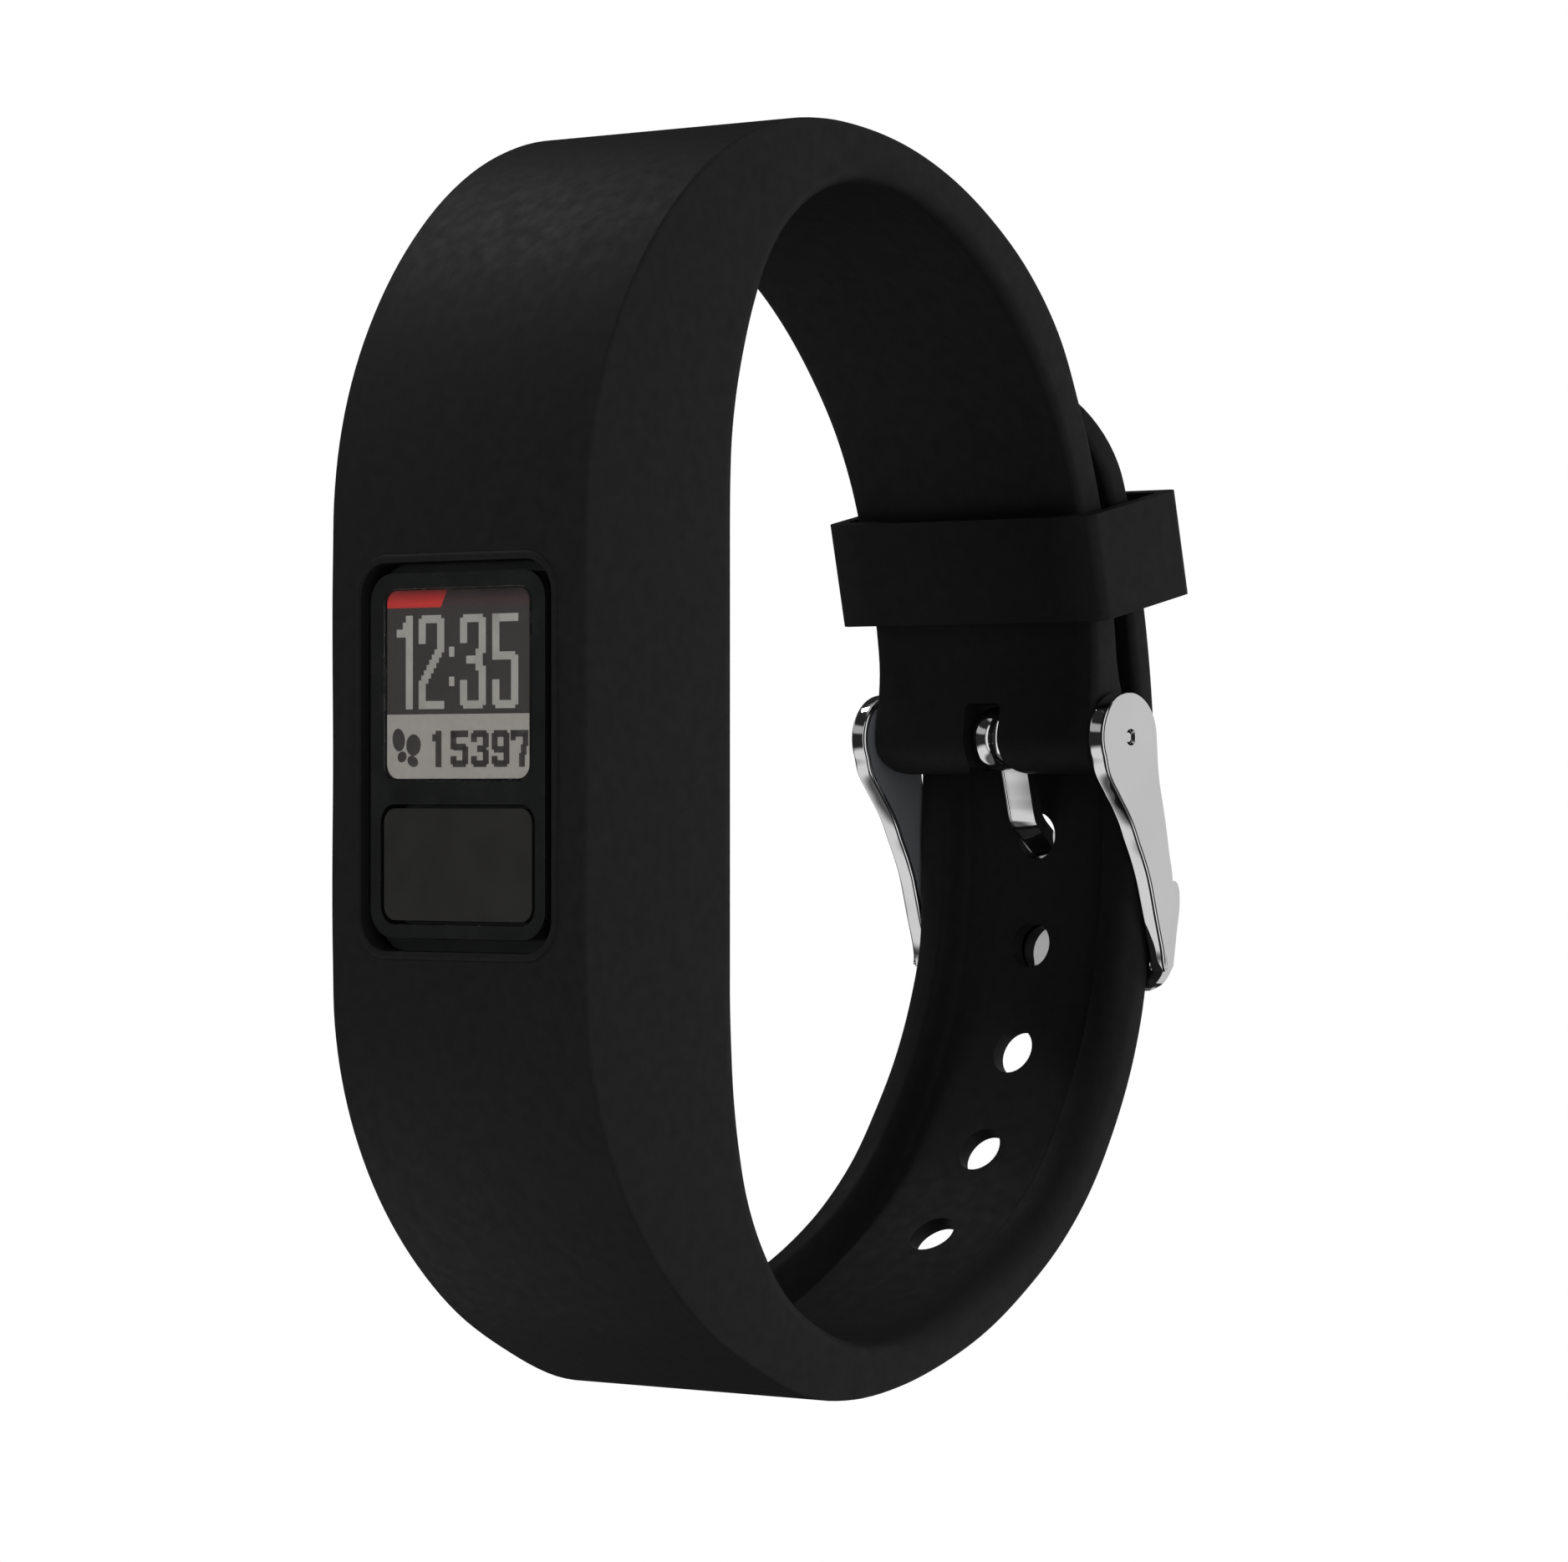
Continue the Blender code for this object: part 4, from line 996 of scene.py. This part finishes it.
SHORT = {
    "1": [(1.6, 0, 3.4, 10), (0.4, 1, 1.8, 2.7)],
    "5": [
        (0, 0, 6, 1.6), (0, 0, 1.8, 5), (1, 3.7, 5.2, 5.3), (4.2, 4.5, 6, 9.2), (0.8, 8.4, 5.2, 10),
        (0, 7.2, 1.8, 9.2),
    ],
    "3": [
        (0.8, 0, 5.2, 1.6), (0, 0.8, 1.8, 3), (4.2, 0.8, 6, 4.5), (2.2, 4.2, 5.2, 5.8),
        (4.2, 5.5, 6, 9.2), (0.8, 8.4, 5.2, 10), (0, 7.2, 1.8, 9.2),
    ],
    "9": [
        (0.8, 0, 5.2, 1.6), (0, 0.8, 1.8, 5.2), (4.2, 0.8, 6, 9.2), (0.8, 4.5, 4.8, 6),
        (0.8, 8.4, 5.2, 10), (0, 7.2, 1.8, 9.2),
    ],
    "7": [(0, 0, 6, 1.6), (0, 0, 1.5, 2.6), (4.3, 1.2, 6, 4.2), (3.6, 4, 5.3, 6.6), (3, 6.4, 4.7, 10)],
}


# The picture's layout: its corners and how far its ground reaches under the border, the pale row's top
# and corners, the progress bar's bottom and its done part's corner, the x of the bar's slanted end at
# the bottom and the top with the gaps there, and how far the bar's rest is raised.
SCREEN_CORNER = 0.7
GROUND_MARGIN = 0.1
ROW_TOP = 2.39
ROW_CORNER = 0.85
BAR_LOW = 8.3
DONE_CORNER = 0.75
BAR_SLANT = (-1.3, -0.8)
BAR_GAPS = (0.05, 0.04)
REST_RAISED = 0.08

# Rows of numerals: name, text, shapes, left sides, top, a cell's width and height, and ink.
NUMERAL_ROWS = (
    ("screen_time", "12:35", TALL, (-4.62, -2.93, -0.61, 0.22, 2.65), 7.84, (0.235, 0.19), "digits"),
    ("screen_count", "15397", SHORT, (-1.98, -0.5, 1.05, 2.6, 4.02), 1.45, (0.212, 0.196), "dark"),
)

# Footprints: name, centre, radii and tilt in degrees.
FOOTPRINTS = (
    ("sole_left", (-4.5, 0.98), (0.48, 0.64), 8),
    ("heel_left", (-4.24, 0.04), (0.35, 0.3), 20),
    ("sole_right", (-3.36, 0.69), (0.56, 0.6), -10),
    ("heel_right", (-3.42, -0.21), (0.42, 0.3), -20),
)


def blocks_mesh(name, blocks):
    """Flat boxes (left x, high z, right x, low z) in millimetres, between the ink layer's depths."""
    work = bmesh.new()
    shallow, deep = SCREEN_INK_DEPTHS
    for block in blocks:
        left, high = block[0] - INK_SPREAD, block[1] + INK_SPREAD
        right, low = block[2] + INK_SPREAD, block[3] - INK_SPREAD
        middle = Vector(((left + right) / 2, FRONT_Y + (shallow + deep) / 2, (high + low) / 2)) * MM
        size = ((right - left) * MM, (deep - shallow) * MM, (high - low) * MM, 1)
        bmesh.ops.create_cube(work, size=1, matrix=Matrix.Translation(middle) @ Matrix.Diagonal(size))
    return mesh_of(name, work)


def numerals(glyphs, text, lefts, top, cell):
    """Blocks of a row of numerals: cell is (width, height) and lefts their left sides."""
    wide, tall = cell
    blocks = []
    for letter, left in zip(text, lefts):
        for x0, y0, x1, y1 in glyphs[letter]:
            blocks.append((left + x0 * wide, top - y0 * tall, left + x1 * wide, top - y1 * tall))
    return blocks


def ellipse(centre, radii, tilt):
    """An oval outline, tilted by degrees."""
    c, s = math.cos(math.radians(tilt)), math.sin(math.radians(tilt))
    middle_x, middle_z = centre
    wide, tall = radii
    return [
        (middle_x + wide * x * c - tall * z * s, middle_z + wide * x * s + tall * z * c)
        for x, z in circle((0, 0), 1, 24)
    ]


def pale_row():
    """The bottom row's outline, with round lower corners."""
    half_x, low, _ = SCREEN
    return [
        (-half_x, ROW_TOP),
        *arc((-half_x + ROW_CORNER, low + ROW_CORNER), ROW_CORNER, 180, 270, 10),
        *arc((half_x - ROW_CORNER, low + ROW_CORNER), ROW_CORNER, 270, 360, 10),
        (half_x, ROW_TOP),
    ]


def progress_bar():
    """The bar's done part, with a slanted end, and the rest of it."""
    half_x, _, high = SCREEN
    slant_low, slant_high = BAR_SLANT
    done = [
        (-half_x, BAR_LOW), (slant_low, BAR_LOW), (slant_high, high), (-half_x + DONE_CORNER, high),
        *arc((-half_x + DONE_CORNER, high - DONE_CORNER), DONE_CORNER, 95, 170, 6),
    ]
    rest_low = BAR_LOW + REST_RAISED
    gap_low, gap_high = BAR_GAPS
    rest = [
        (slant_low + gap_low, rest_low), (half_x, rest_low),
        *arc((half_x - SCREEN_CORNER, high - SCREEN_CORNER), SCREEN_CORNER, 0, 90, 8),
        (slant_high + gap_high, high),
    ]
    return done, rest


def make_picture():
    """The display's picture: a progress bar, the time, and a pale row with footprints and a count."""
    half_x, low, high = SCREEN
    margin = GROUND_MARGIN
    back = rounded_box(half_x + margin, low - margin, high + margin, SCREEN_CORNER)
    done, rest = progress_bar()
    layers = (
        ("ground", back, SCREEN_BACK_DEPTHS), ("light", pale_row(), SCREEN_BLOCK_DEPTHS),
        ("red", done, SCREEN_BLOCK_DEPTHS), ("maroon", rest, SCREEN_BLOCK_DEPTHS),
    )
    pieces = [
        plate(f"screen_{name}", [outline], depths, SCREEN_INKS[name]) for name, outline, depths in layers
    ]
    for name, text, glyphs, lefts, top, cell, ink in NUMERAL_ROWS:
        mesh = blocks_mesh(name, numerals(glyphs, text, lefts, top, cell))
        pieces.append(link(name, mesh, SCREEN_INKS[ink]))
    for name, centre, radii, tilt in FOOTPRINTS:
        outline = ellipse(centre, radii, tilt)
        pieces.append(plate(f"screen_{name}", [outline], SCREEN_INK_DEPTHS, SCREEN_INKS["dark"]))
    for piece in pieces:
        finish_piece(piece, "module", smooth=0)


def make_screws():
    """Cross-recessed screws in the back cover, with rings for a thread."""
    polished = MATERIALS["polished_steel"]
    head_front, head_back = SCREW_HEAD_DEPTHS
    round_middle = (SCREW_HEAD_RADIUS - SCREW_HEAD_BEVEL, head_back - SCREW_HEAD_BEVEL)
    profile = [(0, head_back), *arc(round_middle, SCREW_HEAD_BEVEL, 90, 0, 4)]
    profile += [(SCREW_HEAD_RADIUS, head_front), (SCREW_SHANK_RADIUS, head_front)]
    depth = head_front - THREAD_START
    while depth > SCREW_TIP_DEPTH + SCREW_POINT_LENGTH:
        profile.append((SCREW_SHANK_RADIUS - THREAD_DEPTH, depth))
        profile.append((SCREW_SHANK_RADIUS, depth - THREAD_PITCH / 2))
        depth -= THREAD_PITCH
    profile += [(SCREW_SHANK_RADIUS * 0.3, SCREW_TIP_DEPTH), (0, SCREW_TIP_DEPTH)]
    recess_depths = (head_back - RECESS_DEPTH, head_back + CUT_MARGIN)
    for number, (x, z) in enumerate(boss_places(), 1):
        screw = turned(f"screw_{number}", profile, polished, (x, FRONT_Y, z), (-math.pi / 2, 0, 0), 32)
        recess = []
        for half_x, half_z in (RECESS_ARM, RECESS_ARM[::-1]):
            arm = centred_box((half_x, half_z, RECESS_CORNER), 2)
            outline = [(x + across, z + up) for across, up in arm]
            recess.append(plate("recess", [outline], recess_depths))
        screw = apply_cuts(screw, recess)
        finish_piece(screw, "module", [f"cover_screw_{number}"])


def dress_cad_nodes():
    """Gives each CAD node its slot's material, and softens the larger edges."""
    for entry in frame["record"]["subparts"]:
        node = frame["nodes"][entry["node"]]
        node.data.materials.clear()
        node.data.materials.append(MATERIALS[entry["material_slot"]])
        if entry["node"] in CAD_BEVELS:
            bevel(node, CAD_BEVELS[entry["node"]], 2, 40)


# Stage ---------------------------------------------------------------------------------------------


def make_camera():
    data = bpy.data.cameras.new("photo_view")
    data.lens = CAMERA_LENS
    data.sensor_width = 36.0
    data.clip_start = 0.01
    data.clip_end = 20.0
    rotation = (math.pi / 2 + CAMERA_PITCH, 0, CAMERA_AZIMUTH)
    bpy.context.scene.camera = link("photo_view", data, None, CAMERA_PLACE, rotation)


def camera_only(tree, seen, unseen):
    """Mixes two shaders: the first for what the camera sees, the second for light on the object."""
    path = tree.nodes.new("ShaderNodeLightPath")
    mix = tree.nodes.new("ShaderNodeMixShader")
    tree.links.new(path.outputs["Is Camera Ray"], mix.inputs["Fac"])
    tree.links.new(unseen, mix.inputs[1])
    tree.links.new(seen, mix.inputs[2])
    return mix.outputs["Shader"]


def make_floor():
    """A plain white floor. Only the camera sees it, so it doesn't hide the room from the object."""
    material = bpy.data.materials.new("studio_floor")
    material.use_nodes = True
    tree = material.node_tree
    tree.nodes.clear()
    bright = tree.nodes.new("ShaderNodeEmission")
    bright.inputs["Color"].default_value = (1, 1, 1, 1)
    clear = tree.nodes.new("ShaderNodeBsdfTransparent")
    output = tree.nodes.new("ShaderNodeOutputMaterial")
    tree.links.new(camera_only(tree, bright.outputs[0], clear.outputs[0]), output.inputs["Surface"])
    work = bmesh.new()
    bmesh.ops.create_grid(work, x_segments=1, y_segments=1, size=FLOOR_HALF_SIZE * MM)
    floor = link("studio_floor", mesh_of("studio_floor", work), material, (0, 0, FLOOR_Z))


# Soft white panels round the object: azimuth from the front towards +X and elevation, both low and
# high in degrees, then how soft the edge is and how bright the panel.
PANELS = (
    (-112, -28, -46, -20, 6, 0.66),
    (-112, -28, 11, 26, 3, 0.36),
    (-130, -28, 52, 95, 4, 0.36),
    (-24, -12, -40, 40, 4, 0.8),
    (36, 60, -50, 60, 6, 0.95),
    (98, 190, -60, 70, 8, 0.56),
    (-190, -150, -30, 30, 6, 0.7),
    (-190, 190, -100, -50, 6, 0.08),
)
DARKEST = 0.02


def make_world():
    """White to the camera. The object is lit, and mirrored, by a dark room with soft white panels."""
    world = bpy.data.worlds.new("studio")
    bpy.context.scene.world = world
    world.use_nodes = True
    tree = world.node_tree
    tree.nodes.clear()

    def math_node(operation, *sources):
        node = tree.nodes.new("ShaderNodeMath")
        node.operation = operation
        for socket, source in zip(node.inputs, sources):
            if isinstance(source, (int, float)):
                socket.default_value = source
            else:
                tree.links.new(source, socket)
        return node.outputs[0]

    def edge(source, low, high):
        node = tree.nodes.new("ShaderNodeMapRange")
        node.interpolation_type = "SMOOTHSTEP"
        node.inputs["From Min"].default_value = low
        node.inputs["From Max"].default_value = high
        tree.links.new(source, node.inputs["Value"])
        return node.outputs["Result"]

    def band(source, low, high, soft):
        """1 between low and high and 0 outside them, with soft edges."""
        rise = edge(source, low - soft, low + soft)
        fall = edge(source, high - soft, high + soft)
        return math_node("SUBTRACT", rise, fall)

    split = tree.nodes.new("ShaderNodeSeparateXYZ")
    tree.links.new(tree.nodes.new("ShaderNodeTexCoord").outputs["Generated"], split.inputs[0])
    x, y, z = split.outputs
    azimuth = math_node("DEGREES", math_node("ARCTAN2", x, math_node("MULTIPLY", y, -1.0)))
    elevation = math_node("DEGREES", math_node("ARCSINE", z))
    total = DARKEST
    for west, east, bottom, top, soft, bright in PANELS:
        across = band(azimuth, west, east, soft)
        upward = band(elevation, bottom, top, soft)
        panel = math_node("MULTIPLY", across, upward)
        total = math_node("ADD", total, math_node("MULTIPLY", panel, bright))
    white = tree.nodes.new("ShaderNodeBackground")
    white.inputs["Color"].default_value = (1, 1, 1, 1)
    room = tree.nodes.new("ShaderNodeBackground")
    room.inputs["Color"].default_value = (1, 1, 1, 1)
    tree.links.new(total, room.inputs["Strength"])
    output = tree.nodes.new("ShaderNodeOutputWorld")
    tree.links.new(camera_only(tree, white.outputs[0], room.outputs[0]), output.inputs["Surface"])


def softbox(name, place, size, power):
    """A rectangular light at a place in millimetres, facing the loop's middle."""
    data = bpy.data.lights.new(name, "AREA")
    data.shape = "RECTANGLE"
    data.size, data.size_y = size[0] * MM, size[1] * MM
    data.energy = power
    light = link(name, data, None, place)
    light.rotation_euler = (-light.location).to_track_quat("-Z", "Y").to_euler()


def fill(name, source, spread, strength):
    """A distant light from a direction, soft by some degrees, that polished metal doesn't mirror."""
    data = bpy.data.lights.new(name, "SUN")
    data.energy = strength
    data.angle = math.radians(spread)
    light = link(name, data, None)
    light.rotation_euler = (-Vector(source)).to_track_quat("-Z", "Y").to_euler()
    light.visible_glossy = False


def make_stage():
    make_camera()
    make_floor()
    make_world()
    softbox("edge_glint", (-330, -20, 390), (90, 60), 0.32)
    fill("front_fill", (0, -1, 0.05), 10, 1.3)
    fill("side_fill", (1, 0.15, 0.05), 20, 1.1)
    bpy.context.scene.view_settings.view_transform = "Standard"


dress_cad_nodes()
make_stage()
make_strap()
make_keeper()
make_buckle()
make_tongue()
make_front_case()
make_lens()
make_button()
make_picture()
make_screws()
